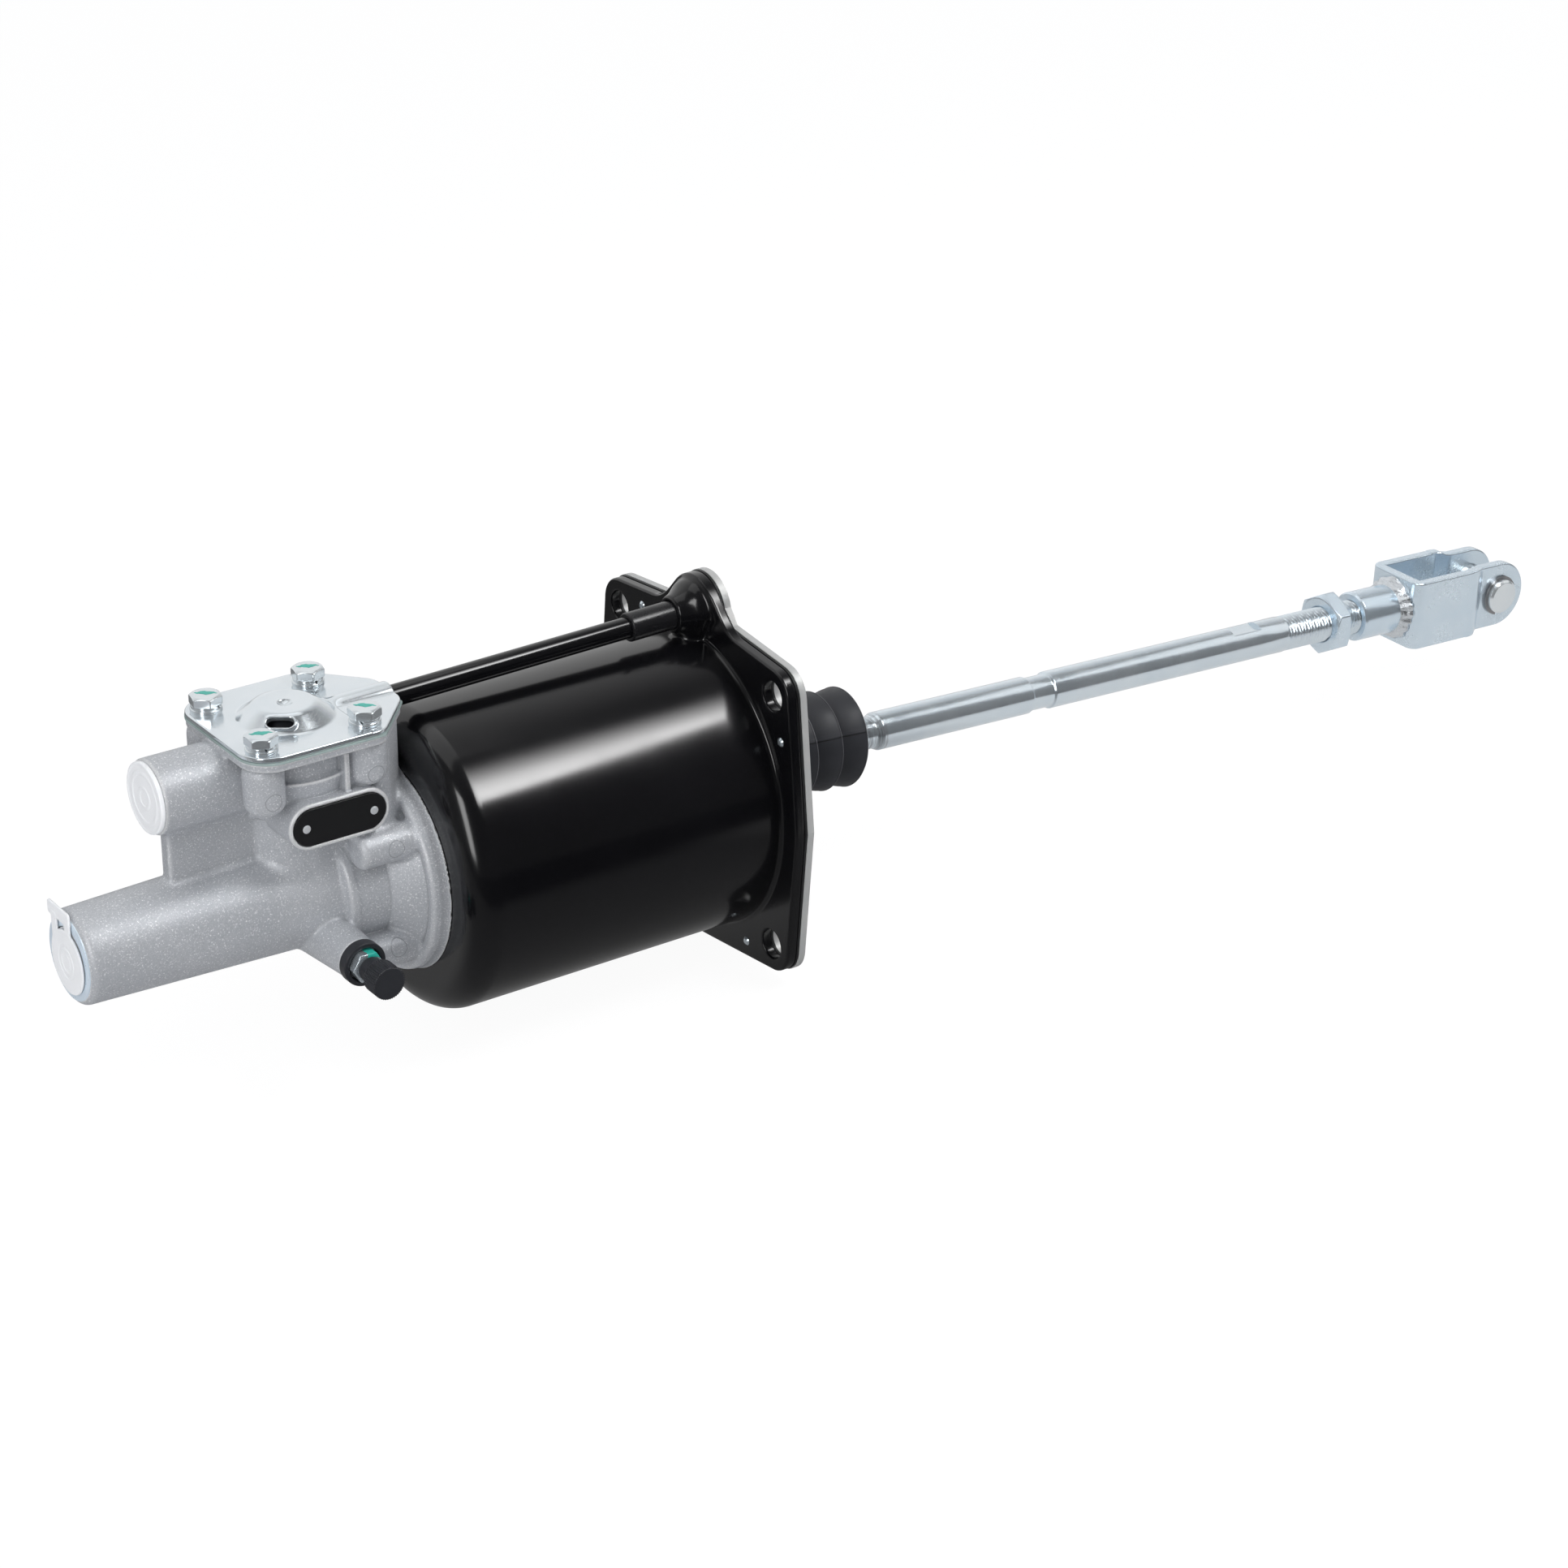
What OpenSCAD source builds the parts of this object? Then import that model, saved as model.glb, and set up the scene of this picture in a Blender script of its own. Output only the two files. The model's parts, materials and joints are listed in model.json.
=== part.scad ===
// Air-hydraulic clutch servo: a hydraulic barrel with a control valve on top, a pressed
// pressure cylinder with its mounting flange, and a push rod that ends in a clevis.
// The X axis runs along the push rod, +Z is up through the valve cover, and -Y is the
// side with the bleed screw. The origin is the centre of the mounting face.

/* [Mounting flange] */
// Distance between neighbouring mounting holes
hole_pitch = 95; // [88:1:100]
// Diameter of each mounting hole
hole_d = 11; // [9:0.5:12]
// Radius of the flange corners round the holes
ear_r = 10; // [9:0.5:12]
// How far each side of the flange reaches at its middle
side_reach = 62.3; // [60:0.1:66]
// Thickness of the flange that is pressed from the cylinder
flange_t = 3.9; // [3:0.1:5]
// Thickness of the flange gasket
flange_gasket_t = 0.8; // [0.5:0.1:1.5]
// Thickness of the plated end plate
end_plate_t = 2.5; // [2:0.1:4]
// Radius of the breather lobe on top of the flange
lobe_r = 12.6; // [11:0.1:15]
// How far the pressed breather boss stands out from the flange
lobe_boss_h = 8; // [5:0.5:12]
// Diameter of the rivets that hold the end plate
flange_rivet_d = 2.8; // [2:0.1:4]
// Distance of the rivets from the axis
flange_rivet_r = 62; // [61:0.1:62.5]
// Direction of the first rivet
flange_rivet_angle = 58.5; // [57:0.5:60]

/* [Pressure cylinder] */
// Outside diameter of the pressure cylinder
cyl_od = 108; // [104:0.5:110]
// Wall of the pressure cylinder
cyl_wall = 3; // [2:0.25:3.5]
// Length of the cylinder from its end face to the flange
cyl_len = 121.5; // [118:0.5:135]
// Outside radius of the rounded corner at the closed end
cyl_corner = 10.5; // [8:0.5:14]
// Radius of the flare between the cylinder and its flange
flare_r = 2; // [1:0.5:5]

/* [Hydraulic barrel] */
// Length of the barrel from the cylinder's end face
barrel_len = 120.5; // [116:0.5:130]
// Outside diameter of the barrel at its free end
barrel_d = 32.6; // [31:0.1:35]
// Outside diameter of the barrel at its root
barrel_root_d = 39; // [37:0.1:42]
// Radius of the barrel's rounded end edge
barrel_edge = 2; // [0.5:0.1:3]
// Diameter of the hydraulic bore
bore_d = 22; // [20:0.1:23]
// Outside diameter of the plated insert in the barrel's end
insert_d = 27.4; // [26:0.1:28]
// Depth of that insert
insert_len = 9; // [7:0.5:11]
// Diameter of the hydraulic port
port_d = 10; // [8:0.5:12]

/* [Casting] */
// Diameter of the round disc against the cylinder
disc_d = 72.4; // [70:0.1:78]
// Thickness of the disc at its rim
disc_t = 6; // [5:0.5:8]
// Diameter of the hub behind the disc
hub_d = 44; // [42:0.5:50]
// Length of the hub from the cylinder's end face
hub_len = 28.5; // [24:0.5:32]
// Distance of the body screws from the axis
screw_circle_r = 28.3; // [27:0.1:29]
// Direction of the body screws above and below the side
screw_angle = 43; // [40:1:50]
// Radius of the screw bosses on the casting
screw_boss_r = 6.2; // [5.6:0.1:6.8]
// Length of the screw bosses from the cylinder's end face
screw_boss_len = 24; // [20:0.5:26]
// Thickness of the web between the air port and the barrel
web_t = 6; // [4:0.5:8]
// Distance of the web's free edge from the cylinder's end face
web_reach = 84.7; // [80:0.1:88]
// Radius of the neck between the valve and the barrel
neck_r = 14.7; // [14:0.1:16]

/* [Control valve] */
// Distance of the valve's axis from the cylinder's end face
valve_offset = 38.4; // [37:0.1:40]
// Height of the casting's top face above the axis
top_z = 62.2; // [60:0.1:66]
// Distance between neighbouring cover bolts
bolt_pitch = 37.8; // [36:0.1:39]
// Half width of the cover
cover_half_w = 28; // [27:0.1:30]
// How far the cover reaches to the left of the valve axis
cover_left = 26.4; // [26:0.1:29]
// Corner radius of the cover
cover_corner = 11; // [8:0.5:12]
// Length of the slanted corners at the cylinder's side
cover_chamfer = 17; // [14:0.5:19]
// Thickness of the cover gasket
cover_gasket_t = 0.8; // [0.5:0.1:1.2]
// Thickness of the plated cover
cover_t = 1.5; // [1.2:0.1:2]
// Radius of the dome's foot
dome_r = 16.9; // [15:0.1:18]
// Radius of the dome's flat top
dome_top_r = 9.5; // [8:0.1:11]
// Height of the dome
dome_h = 5; // [4:0.1:7]
// Direction of the vent slot, turned from the near side towards the barrel
vent_turn = 35; // [0:1:45]
// Thickness of the casting's top lip
lip_t = 2.8; // [2:0.1:4]
// Radius of the columns under the bolts
column_r = 6.7; // [6.2:0.1:7.2]
// Height of the columns' lowest point above the axis
column_foot_z = 43.5; // [43.5:0.1:46]
// Radius of the round valve body between the columns
valve_body_r = 20.5; // [19:0.1:22]
// Height of the valve body's floor
valve_floor_z = 40; // [38:0.5:42]
// Radius of the valve chamber
chamber_r = 13.2; // [12.5:0.1:14]
// Height of the chamber's floor
chamber_floor_z = 43; // [42.5:0.1:44]
// Radius of the reaction piston's bore
reaction_r = 6.5; // [6:0.1:7]
// Lift of the reaction piston
reaction_lift = 3; // [2:0.1:4]
// Lift of the valve poppet
poppet_lift = 2; // [1:0.1:2.5]

/* [Air port] */
// Height of the air port above the axis
air_z = 48.8; // [47:0.1:50]
// Distance of the air port's face from the cylinder's end face
air_reach = 89; // [85:0.1:95]
// Outside diameter of the air port boss
air_boss_d = 25.6; // [24:0.1:27]
// Diameter of the air port's thread bore
air_port_d = 14.5; // [13:0.1:16]
// Depth of the air port's thread
air_port_depth = 14; // [12:0.5:16]

/* [Bleed screw] */
// Distance of the bleed screw from the cylinder's end face
bleed_offset = 33.9; // [32:0.1:36]
// Height of the bleed screw's axis
bleed_z = -12.2; // [-13:0.1:-11]
// Distance of the bleed boss's face from the axis
bleed_face = 34; // [32:0.5:36]
// Radius of the bleed boss
bleed_boss_r = 7.2; // [7:0.1:8]
// Width across the flats of the bleed screw
bleed_hex = 10; // [9:0.5:10.5]

/* [Name plate] */
// Length of the bare name plate
name_l = 34; // [30:0.5:36]
// Height of the bare name plate
name_h = 13; // [11:0.1:14]
// Thickness of the bare name plate
name_t = 1; // [0.6:0.1:1.5]
// Distance between its rivets
name_rivet_pitch = 25; // [22:0.1:26]
// Distance of its front face from the axis
name_face = 25; // [24:0.1:27]
// Height of its middle above the axis
name_z = 35.3; // [34:0.1:37]
// Distance of its middle from the valve axis, towards the cylinder
name_offset = 5; // [3:0.1:6]

/* [Breather pipe] */
// Outside diameter of the breather pipe
pipe_d = 7.6; // [7:0.1:8]
// Height of the pipe at the valve
pipe_z_valve = 61; // [60.5:0.1:61.5]
// Height of the pipe at the flange
pipe_z_flange = 63.2; // [62.5:0.1:64]
// Outside diameter of the rubber hose
hose_d = 10.2; // [9.8:0.1:11]
// Length of the rubber hose
hose_len = 25; // [20:0.5:30]

/* [Pistons] */
// Working stroke of the servo
stroke = 52; // [40:1:54]
// Distance of the air piston's face from the cylinder's end face at rest
piston_rest = 9.7; // [9:0.1:12]
// Height of the air piston's rim along the axis
piston_rim_len = 16; // [14:0.5:18]
// Diameter of the air piston's hub
hub_rod_d = 26; // [25.4:0.1:26.4]
// Length of the hydraulic piston
plunger_len = 30; // [26:0.5:32]
// Diameter of the hydraulic piston's rod
plunger_rod_d = 12; // [10:0.5:13]
// Diameter of the return spring's wire
spring_wire = 3.6; // [3:0.1:4]
// Middle diameter of the return spring
spring_d = 42; // [41:0.5:46]
// Turns of the return spring
spring_turns = 7; // [5:0.5:8]

/* [Push rod] */
// Angle at which the free push rod hangs
rod_tilt = 2.96; // [0:0.01:4]
// Distance of the rod's ball from the mounting face
ball_back = 17.9; // [16:0.1:20]
// Radius of the rod's ball end
ball_r = 9.5; // [9:0.1:9.6]
// Diameter of the push rod
rod_d = 14.1; // [13:0.1:14.4]
// Length of the push rod from its ball
rod_len = 345; // [320:0.5:380]
// Distance of the narrow seat for the boot behind its last fold
seat_gap = 3.1; // [2.8:0.1:5]
// Width of that seat
seat_w = 10.5; // [8:0.5:12]
// Distance of the turned groove from the ball
groove_s = 158.7; // [150:0.5:170]
// Width of the turned groove
groove_w = 10.7; // [8:0.1:14]
// Distance of the spanner flat from the rod's end
flat_back = 86; // [82:0.5:95]
// Length of the spanner flat
flat_w = 13.7; // [12:0.1:16]
// Length of the thread
thread_len = 60.1; // [55:0.1:65]
// Outside diameter of the thread
thread_d = 13.8; // [13:0.1:13.9]
// Distance of the lock nut from the rod's end
nut_back = 37.8; // [33:0.1:49]
// Thickness of the lock nut
nut_t = 7; // [6:0.1:8]
// Width across the flats of the lock nut
nut_af = 22; // [21:0.5:24]

/* [Clevis] */
// Length of thread that the clevis neck covers
neck_cover = 21.6; // [19:0.1:24]
// Outside diameter of the clevis neck
neck_d = 19.6; // [18:0.1:21]
// Gap between the rod's end and the fork's back
fork_gap = 0.8; // [0.8:0.1:5]
// Thickness of the fork's plate
fork_t = 4.2; // [3.5:0.1:4.5]
// Outside width of the fork
fork_w = 28; // [27:0.1:30]
// Height of the fork
fork_h = 28; // [27:0.1:30]
// Distance of the clevis pin from the fork's back
pin_reach = 48.4; // [48:0.1:54]
// Distance of the step in the side plates from the fork's back
jog_reach = 32.7; // [30:0.1:33]
// Width of that step
jog_w = 4.5; // [4:0.1:5]
// Outside width across the ears
ear_w = 22; // [21:0.1:23]
// Radius of the ears
ear_round = 13.3; // [12.5:0.1:13.5]
// Diameter of the clevis pin
pin_d = 14; // [12:0.1:14.5]
// How far the pin stands out from the near ear
pin_proud = 3.5; // [3:0.1:5]

/* [Rubber boot] */
// Number of folds in the boot
folds = 5; // [5:1:5]
// Outside radius of the folds
fold_r = 18.4; // [17.8:0.1:19]
// Radius of the boot between the folds
valley_r = 15.2; // [15.1:0.1:15.8]
// Wall of the boot
boot_wall = 1.6; // [1.3:0.1:1.7]
// Distance of the first fold from the mounting face
first_fold = 12.2; // [12:0.1:12.6]
// Distance between neighbouring folds
fold_pitch = 10.8; // [10.6:0.1:11]

/* [Hidden] */
$fn = 64;
// running clearance, seat clearance and clearance of a soft piece
run = 0.05;
seat = 0.1;
soft = 0.3;
// planes along the axis
flange_x = -(end_plate_t + flange_gasket_t + flange_t);
cyl_x = flange_x - cyl_len;
inner_x = cyl_x + cyl_wall;
barrel_x = cyl_x - barrel_len;
valve_x = cyl_x - valve_offset;
air_x = cyl_x - air_reach;
bleed_x = cyl_x - bleed_offset;
web_x = cyl_x - web_reach;
ball_x = -ball_back;
cyl_r = cyl_od / 2;
bore_r = bore_d / 2;
spigot_r = 16;
spigot_hole_r = spigot_r + seat;
// holes and bolts
hole_y = hole_pitch / 2;
bolt_y = bolt_pitch / 2;
m6_r = 3;
m6_shank_r = m6_r - run;
m6_free_r = 3.3;
bolt_af = 10;
bolt_head_h = 4;
washer_h = 1.6;
washer_r = 5.2;
bolt_reach = 14;
name_rivet_r = 1;
gasket_top = top_z + cover_gasket_t;
cover_top = gasket_top + cover_t;
cover_right = cyl_x - valve_x;
// body screws
screw_head_h = 4;
screw_head_r = 5;
screw_depth = 13;
seal_circle_r = 33.6;
seal_wire = 2;
// passages in the casting, from narrow to wide
oil_way_r = 1.5;
air_way_r = 3;
air_gallery_r = 4;
air_way_z = 24;
// plated insert and its mouth
insert_floor = 3;
insert_mouth_r = insert_d / 2 - insert_floor;
insert_face = barrel_x - soft;
// bleed screw
bleed_thread_r = 4;
nipple_r = 3.2;
bleed_depth = 18;
bleed_draft = 2.5;
// control valve
neck_cone_z = valve_floor_z - 7;
neck_cone_w = 3.3;
reaction_foot_z = 17;
reaction_top_z = chamber_floor_z - 2;
poppet_gap = reaction_lift - poppet_lift + run;
seat_ring_h = 4;
seat_ring_z = chamber_floor_z + 1;
poppet_z = seat_ring_z + seat_ring_h;
poppet_r = 7;
poppet_h = 3;
stem_r = 3;
guide_r = 2.4;
cap_h = 4.6;
clip_t = 1.2;
clip_depth = 0.8;
clip_z = top_z - clip_t - 0.4;
cap_foot_z = clip_z - cap_h;
channel_r = pipe_d / 2 + soft;
channel_x = cyl_x - 14;
// pistons
piston_x = cyl_x + piston_rest;
piston_gap = 0.4;
piston_r = cyl_r - cyl_wall - piston_gap;
crown_t = 4;
piston_hub_r = hub_rod_d / 2;
piston_hub_end = 3;
socket_r = ball_r + seat;
hub_bore_r = socket_r + 0.6;
retainer_x = ball_x + 6;
retainer_t = 1.6;
retainer_r = hub_bore_r + 0.9;
retainer_bore_r = 7.9;
rim_wall = 6;
lip_w = 5;
lip_depth = 3.5;
lip_x = piston_x + 2;
ring_w = 4;
ring_depth = 2;
ring_x = piston_x + piston_rim_len - ring_w - 2;
plunger_x = barrel_x + insert_len + 14;
plunger_r = bore_r - run;
plunger_rod_r = plunger_rod_d / 2;
plunger_groove_w = 3;
plunger_grooves = [plunger_x + 5, plunger_x + plunger_len - 5 - plunger_groove_w];
bore_floor_x = plunger_x - 2;
gland_len = 12;
gland_r = bore_r + 2;
gland_x = cyl_x - gland_len;
bush_r = 16.5;
bush_flange_r = 17.8;
bush_flange_t = 3;
bush_end = 6;
bead_r = 14.7;
bead_x0 = 0.8;
bead_x1 = 4.6;
// push rod and clevis
rod_r = rod_d / 2;
neck_rod_r = 6.4;
neck_rod_end = 26;
seat_r = 5.9;
rod_cone = 2.6;
groove_r = rod_r - 0.75;
flat_depth = 1.3;
flat_s = rod_len - flat_back;
thread_s = rod_len - thread_len;
nut_s = rod_len - nut_back;
neck_s = rod_len - neck_cover;
fork_s = rod_len + fork_gap;
pin_s = fork_s + pin_reach;
jog_s = fork_s + jog_reach;
thread_r = thread_d / 2;
thread_bore_r = thread_r + run;
neck_r_out = neck_d / 2;
fork_y = fork_w / 2;
ear_y = ear_w / 2;
pin_r = pin_d / 2;
pin_bore_r = pin_r + run;
pin_head_r = pin_r + 3;
pin_head_t = 3;
pin_clip_t = 1;
weld_w = 3.2;
// rubber cap of the bleed screw
cap_ring_w = 1.2;
cap_ring_h = 3.4;
knob_r = 5.8;
knob_h = 7.5;
knob_foot = 12.5;
// end plate's dished middle, clear of the boot
dish_r = fold_r + 2.6;
dish_t = 0.6;
// boot, its end wall and its seat on the rod
last_fold = first_fold + (folds - 1) * fold_pitch;
boot_end_s = (last_fold - ball_x) / cos(rod_tilt);
boot_lip_w = 4.5;
seat_s = boot_end_s + seat_gap;

// a round bar along X from x0 to x1
module bar(x0, x1, r, r2) {
    translate([x0, 0, 0])
        rotate([0, 90, 0])
            cylinder(h = x1 - x0, r1 = r, r2 = is_undef(r2) ? r : r2);
}

// a ring along X
module ring(x0, x1, r, bore) {
    difference() {
        bar(x0, x1, r);
        bar(x0 - 1, x1 + 1, bore);
    }
}

// a shape turned about X from an outline of [x, radius] points
module turned(points) {
    rotate([0, 90, 0])
        rotate_extrude()
            polygon([for (p = points) [p[1], p[0]]]);
}

// a torus about X
module hoop(x, circle_r, wire_r) {
    translate([x, 0, 0])
        rotate([0, 90, 0])
            rotate_extrude()
                translate([circle_r, 0])
                    circle(r = wire_r, $fn = 24);
}

// a coil spring along X, its wire's surface between x0 and x1
module coil(x0, x1, r, wire_r, turns, sides = 10, steps = 24) {
    n = round(turns * steps);
    pitch = (x1 - x0 - 2 * wire_r) / n;
    points = [for (i = [0:n]) let (a = 360 * i / steps, c = x0 + wire_r + i * pitch)
        for (k = [0:sides - 1]) let (b = 360 * k / sides, q = r + wire_r * cos(b))
            [c + wire_r * sin(b), q * cos(a), q * sin(a)]];
    walls = [for (i = [0:n - 1]) for (k = [0:sides - 1]) let (m = (k + 1) % sides)
        [i * sides + k, i * sides + m, (i + 1) * sides + m, (i + 1) * sides + k]];
    first = [for (k = [sides - 1:-1:0]) k];
    last = [for (k = [0:sides - 1]) n * sides + k];
    polyhedron(points = points, faces = concat(walls, [first, last]));
}

// children at the four mounting holes
module at_holes() {
    for (y = [-hole_y, hole_y])
        for (z = [-hole_y, hole_y])
            translate([0, y, z])
                children();
}

// children at the four cover bolts
module at_bolts() {
    for (x = [-bolt_y, bolt_y])
        for (y = [-bolt_y, bolt_y])
            translate([valve_x + x, y, 0])
                children();
}

// children at the four body screws
module at_screws() {
    for (side = [-1, 1])
        for (up = [-1, 1])
            translate([0, side * screw_circle_r * cos(screw_angle),
                up * screw_circle_r * sin(screw_angle)])
                children();
}

// children at the four flange rivets
module at_rivets() {
    for (i = [0:3])
        rotate([flange_rivet_angle + 90 * i, 0, 0])
            translate([0, flange_rivet_r, 0])
                children();
}

// children in the frame of the hanging push rod, its ball at the origin
module rod_frame() {
    translate([ball_x, 0, 0])
        rotate([0, rod_tilt, 0])
            children();
}

// the point where a line from p touches the circle of radius r round c, on one side
function touch(p, c, r, side) =
    let (d = c - p, l = norm(d), a = atan2(d[1], d[0]) + side * asin(r / l), t = sqrt(l * l - r * r))
        p + t * [cos(a), sin(a)];

// outline of the flange without its lobe, seen along X
module flange_outline(grow = 0) {
    r = ear_r + grow;
    reach = side_reach + grow;
    for (i = [0:3])
        rotate(90 * i) {
            translate([hole_y, hole_y])
                circle(r = r);
            polygon([[0, 0], [reach, 0], touch([reach, 0], [hole_y, hole_y], r, -1),
                [hole_y, hole_y], touch([0, reach], [hole_y, hole_y], r, 1), [0, reach]]);
        }
}

// the whole outline: the flange and its breather lobe
module plate_outline(grow = 0) {
    flange_outline(grow);
    translate([0, pipe_z_flange])
        circle(r = lobe_r + grow);
    polygon([[-lobe_r * 1.6, side_reach - 6], [lobe_r * 1.6, side_reach - 6],
        [lobe_r * 0.96 + grow, pipe_z_flange + 3.4], [-lobe_r * 0.96 - grow, pipe_z_flange + 3.4]]);
}

// a plate with that outline between two planes, its holes included
module plate(x0, x1, bore, grow = 0) {
    difference() {
        translate([x0, 0, 0])
            rotate([90, 0, 90])
                linear_extrude(x1 - x0)
                    plate_outline(grow);
        bar(x0 - 1, x1 + 1, bore);
        at_holes()
            bar(x0 - 1, x1 + 1, hole_d / 2);
        at_rivets()
            bar(x0 - 1, x1 + 1, flange_rivet_d / 2 + run);
    }
}

// outline of the valve cover round the valve's axis, smaller by shrink
module cover_outline(shrink = 0) {
    w = cover_half_w - shrink;
    l = cover_left - shrink;
    e = cover_right - shrink * 0.4;
    c = cover_chamfer;
    r = cover_corner - shrink;
    for (s = [-1, 1])
        translate([-l + r, s * (w - r)])
            circle(r = r);
    polygon([[-l, -w + r], [-l + r, -w], [e - c, -w], [e, -w + c + 2], [e, w - c - 2],
        [e - c, w], [-l + r, w], [-l, w - r]]);
}

// a straight pipe from the valve to the flange
module pipe_line(x0, x1, r) {
    slope = atan2(pipe_z_flange - pipe_z_valve, flange_x - cyl_x);
    translate([cyl_x, 0, pipe_z_valve])
        rotate([0, -slope, 0])
            bar(x0 - cyl_x, x1 - cyl_x, r);
}

module cast_body_solid() {
    // barrel with its rounded end edge
    bar(barrel_x + barrel_edge, cyl_x - 6, barrel_d / 2, barrel_root_d / 2);
    bar(barrel_x, barrel_x + barrel_edge, barrel_d / 2 - barrel_edge, barrel_d / 2);
    // stepped hub and disc
    turned([[cyl_x - hub_len, 0], [cyl_x - hub_len, hub_d / 2 - 2], [cyl_x - hub_len + 2, hub_d / 2],
        [cyl_x - disc_t * 2.2, hub_d / 2], [cyl_x - disc_t * 0.9, disc_d / 2 - 5],
        [cyl_x - disc_t, disc_d / 2 - 4], [cyl_x - disc_t, disc_d / 2 - 2],
        [cyl_x - disc_t + 2, disc_d / 2], [cyl_x, disc_d / 2], [cyl_x, 0]]);
    bar(cyl_x - 1, inner_x, spigot_r);
    // screw bosses with rounded tips
    at_screws() {
        bar(cyl_x - screw_boss_len + screw_boss_r, cyl_x, screw_boss_r);
        translate([cyl_x - screw_boss_len + screw_boss_r, 0, 0])
            sphere(r = screw_boss_r);
    }
    // air port boss and its web
    translate([0, 0, air_z])
        bar(air_x, valve_x, air_boss_d / 2);
    translate([web_x, -web_t / 2, 0])
        cube([valve_x - web_x, web_t, air_z]);
    // neck, round valve body and the block on the cylinder's side
    translate([valve_x, 0, 0])
        cylinder(h = valve_floor_z + 1, r = neck_r);
    translate([valve_x, 0, neck_cone_z])
        cylinder(h = valve_floor_z - neck_cone_z + 1, r1 = neck_r, r2 = neck_r + neck_cone_w);
    translate([valve_x, 0, valve_floor_z])
        cylinder(h = top_z - valve_floor_z, r = valve_body_r);
    translate([valve_x, 0, name_z - name_h])
        linear_extrude(top_z - name_z + name_h)
            intersection() {
                cover_outline(2);
                translate([neck_r * 0.5, -valve_body_r])
                    square([cover_right, 2 * valve_body_r]);
            }
    translate([valve_x, -neck_r, 0])
        cube([cover_right - disc_t * 0.5, 2 * neck_r, name_z]);
    // top lip and the columns under the bolts
    translate([valve_x, 0, top_z - lip_t])
        linear_extrude(lip_t)
            cover_outline(0.4);
    at_bolts() {
        translate([0, 0, column_foot_z + column_r])
            cylinder(h = top_z - column_foot_z - column_r, r = column_r);
        translate([0, 0, column_foot_z + column_r])
            sphere(r = column_r);
    }
    // name plate pad
    translate([valve_x + name_offset, -name_face + name_t, name_z])
        rotate([-90, 0, 0])
            linear_extrude(name_face - name_t)
                stadium(name_l + 3, name_h + 3);
    // bleed boss
    translate([bleed_x, 0, bleed_z])
        rotate([90, 0, 0])
            cylinder(h = bleed_face, r1 = bleed_boss_r + bleed_draft, r2 = bleed_boss_r);
}

// a rounded bar shape in the plane
module stadium(l, h) {
    square([l - h, h], center = true);
    for (s = [-1, 1])
        translate([s * (l - h) / 2, 0])
            circle(r = h / 2);
}

module cast_body() {
    color("silver")
        difference() {
            cast_body_solid();
            // hydraulic bore, its port, the insert's seat and the gland's seat
            bar(bore_floor_x, cyl_x + 10, bore_r);
            bar(barrel_x, bore_floor_x + 1, port_d / 2);
            bar(barrel_x - 1, barrel_x + insert_len, insert_d / 2);
            bar(gland_x, cyl_x + 10, gland_r);
            // control valve
            translate([valve_x, 0, chamber_floor_z])
                cylinder(h = 40, r = chamber_r);
            translate([valve_x, 0, reaction_foot_z - 1])
                cylinder(h = 40, r = reaction_r);
            translate([valve_x, 0, clip_z - run])
                cylinder(h = clip_t + 2 * run, r = chamber_r + clip_depth + run);
            translate([valve_x, 0, bore_r - 3])
                cylinder(h = 20, r = oil_way_r);
            // air passages to and from the valve
            translate([0, 0, air_z]) {
                bar(air_x - 1, air_x + air_port_depth, air_port_d / 2);
                bar(air_x, valve_x, air_gallery_r);
            }
            translate([valve_x + chamber_r - air_way_r, 0, air_way_z])
                cylinder(h = chamber_floor_z - air_way_z + 1, r = air_way_r);
            translate([0, 0, air_way_z])
                bar(valve_x + chamber_r - air_way_r, cyl_x + 1, air_way_r);
            // groove for the breather pipe under the cover
            pipe_line(channel_x, cyl_x + 10, channel_r);
            // bolt, screw and seal seats
            at_bolts()
                translate([0, 0, top_z - bolt_reach])
                    cylinder(h = bolt_reach + 1, r = m6_r);
            at_screws()
                bar(cyl_x - screw_depth - 1, cyl_x + 1, m6_r);
            difference() {
                bar(cyl_x - seal_wire - run, cyl_x + 1, seal_circle_r + seal_wire / 2 + run);
                bar(cyl_x - 10, cyl_x + 2, seal_circle_r - seal_wire / 2 - run);
            }
            // bleed screw's thread and its passage to the bore
            translate([bleed_x, 0, bleed_z]) {
                rotate([90, 0, 0])
                    translate([0, 0, bleed_face - bleed_depth])
                        cylinder(h = bleed_face, r = bleed_thread_r);
                translate([0, -bleed_face + bleed_depth - 2, 0])
                    rotate([-58, 0, 0])
                        cylinder(h = 16, r = oil_way_r);
            }
            // name plate's seat, and the rivet holes in its pad
            translate([valve_x + name_offset, -name_face + name_t, name_z])
                rotate([90, 0, 0])
                    linear_extrude(4 * name_t)
                        stadium(name_l + soft, name_h + soft);
            at_name_rivets()
                cylinder(h = 8, r = name_rivet_r + run);
        }
}

// children at the two name plate rivets, their axis pointing into the casting
module at_name_rivets() {
    for (s = [-1, 1])
        translate([valve_x + name_offset + s * name_rivet_pitch / 2, -name_face, name_z])
            rotate([-90, 0, 0])
                children();
}

module barrel_insert() {
    color("lightsteelblue")
        difference() {
            bar(insert_face, barrel_x + insert_len, insert_d / 2 - run);
            bar(barrel_x - 1, barrel_x + insert_len - insert_floor, insert_mouth_r);
            bar(barrel_x, barrel_x + insert_len + 1, port_d / 2);
        }
}

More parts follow.
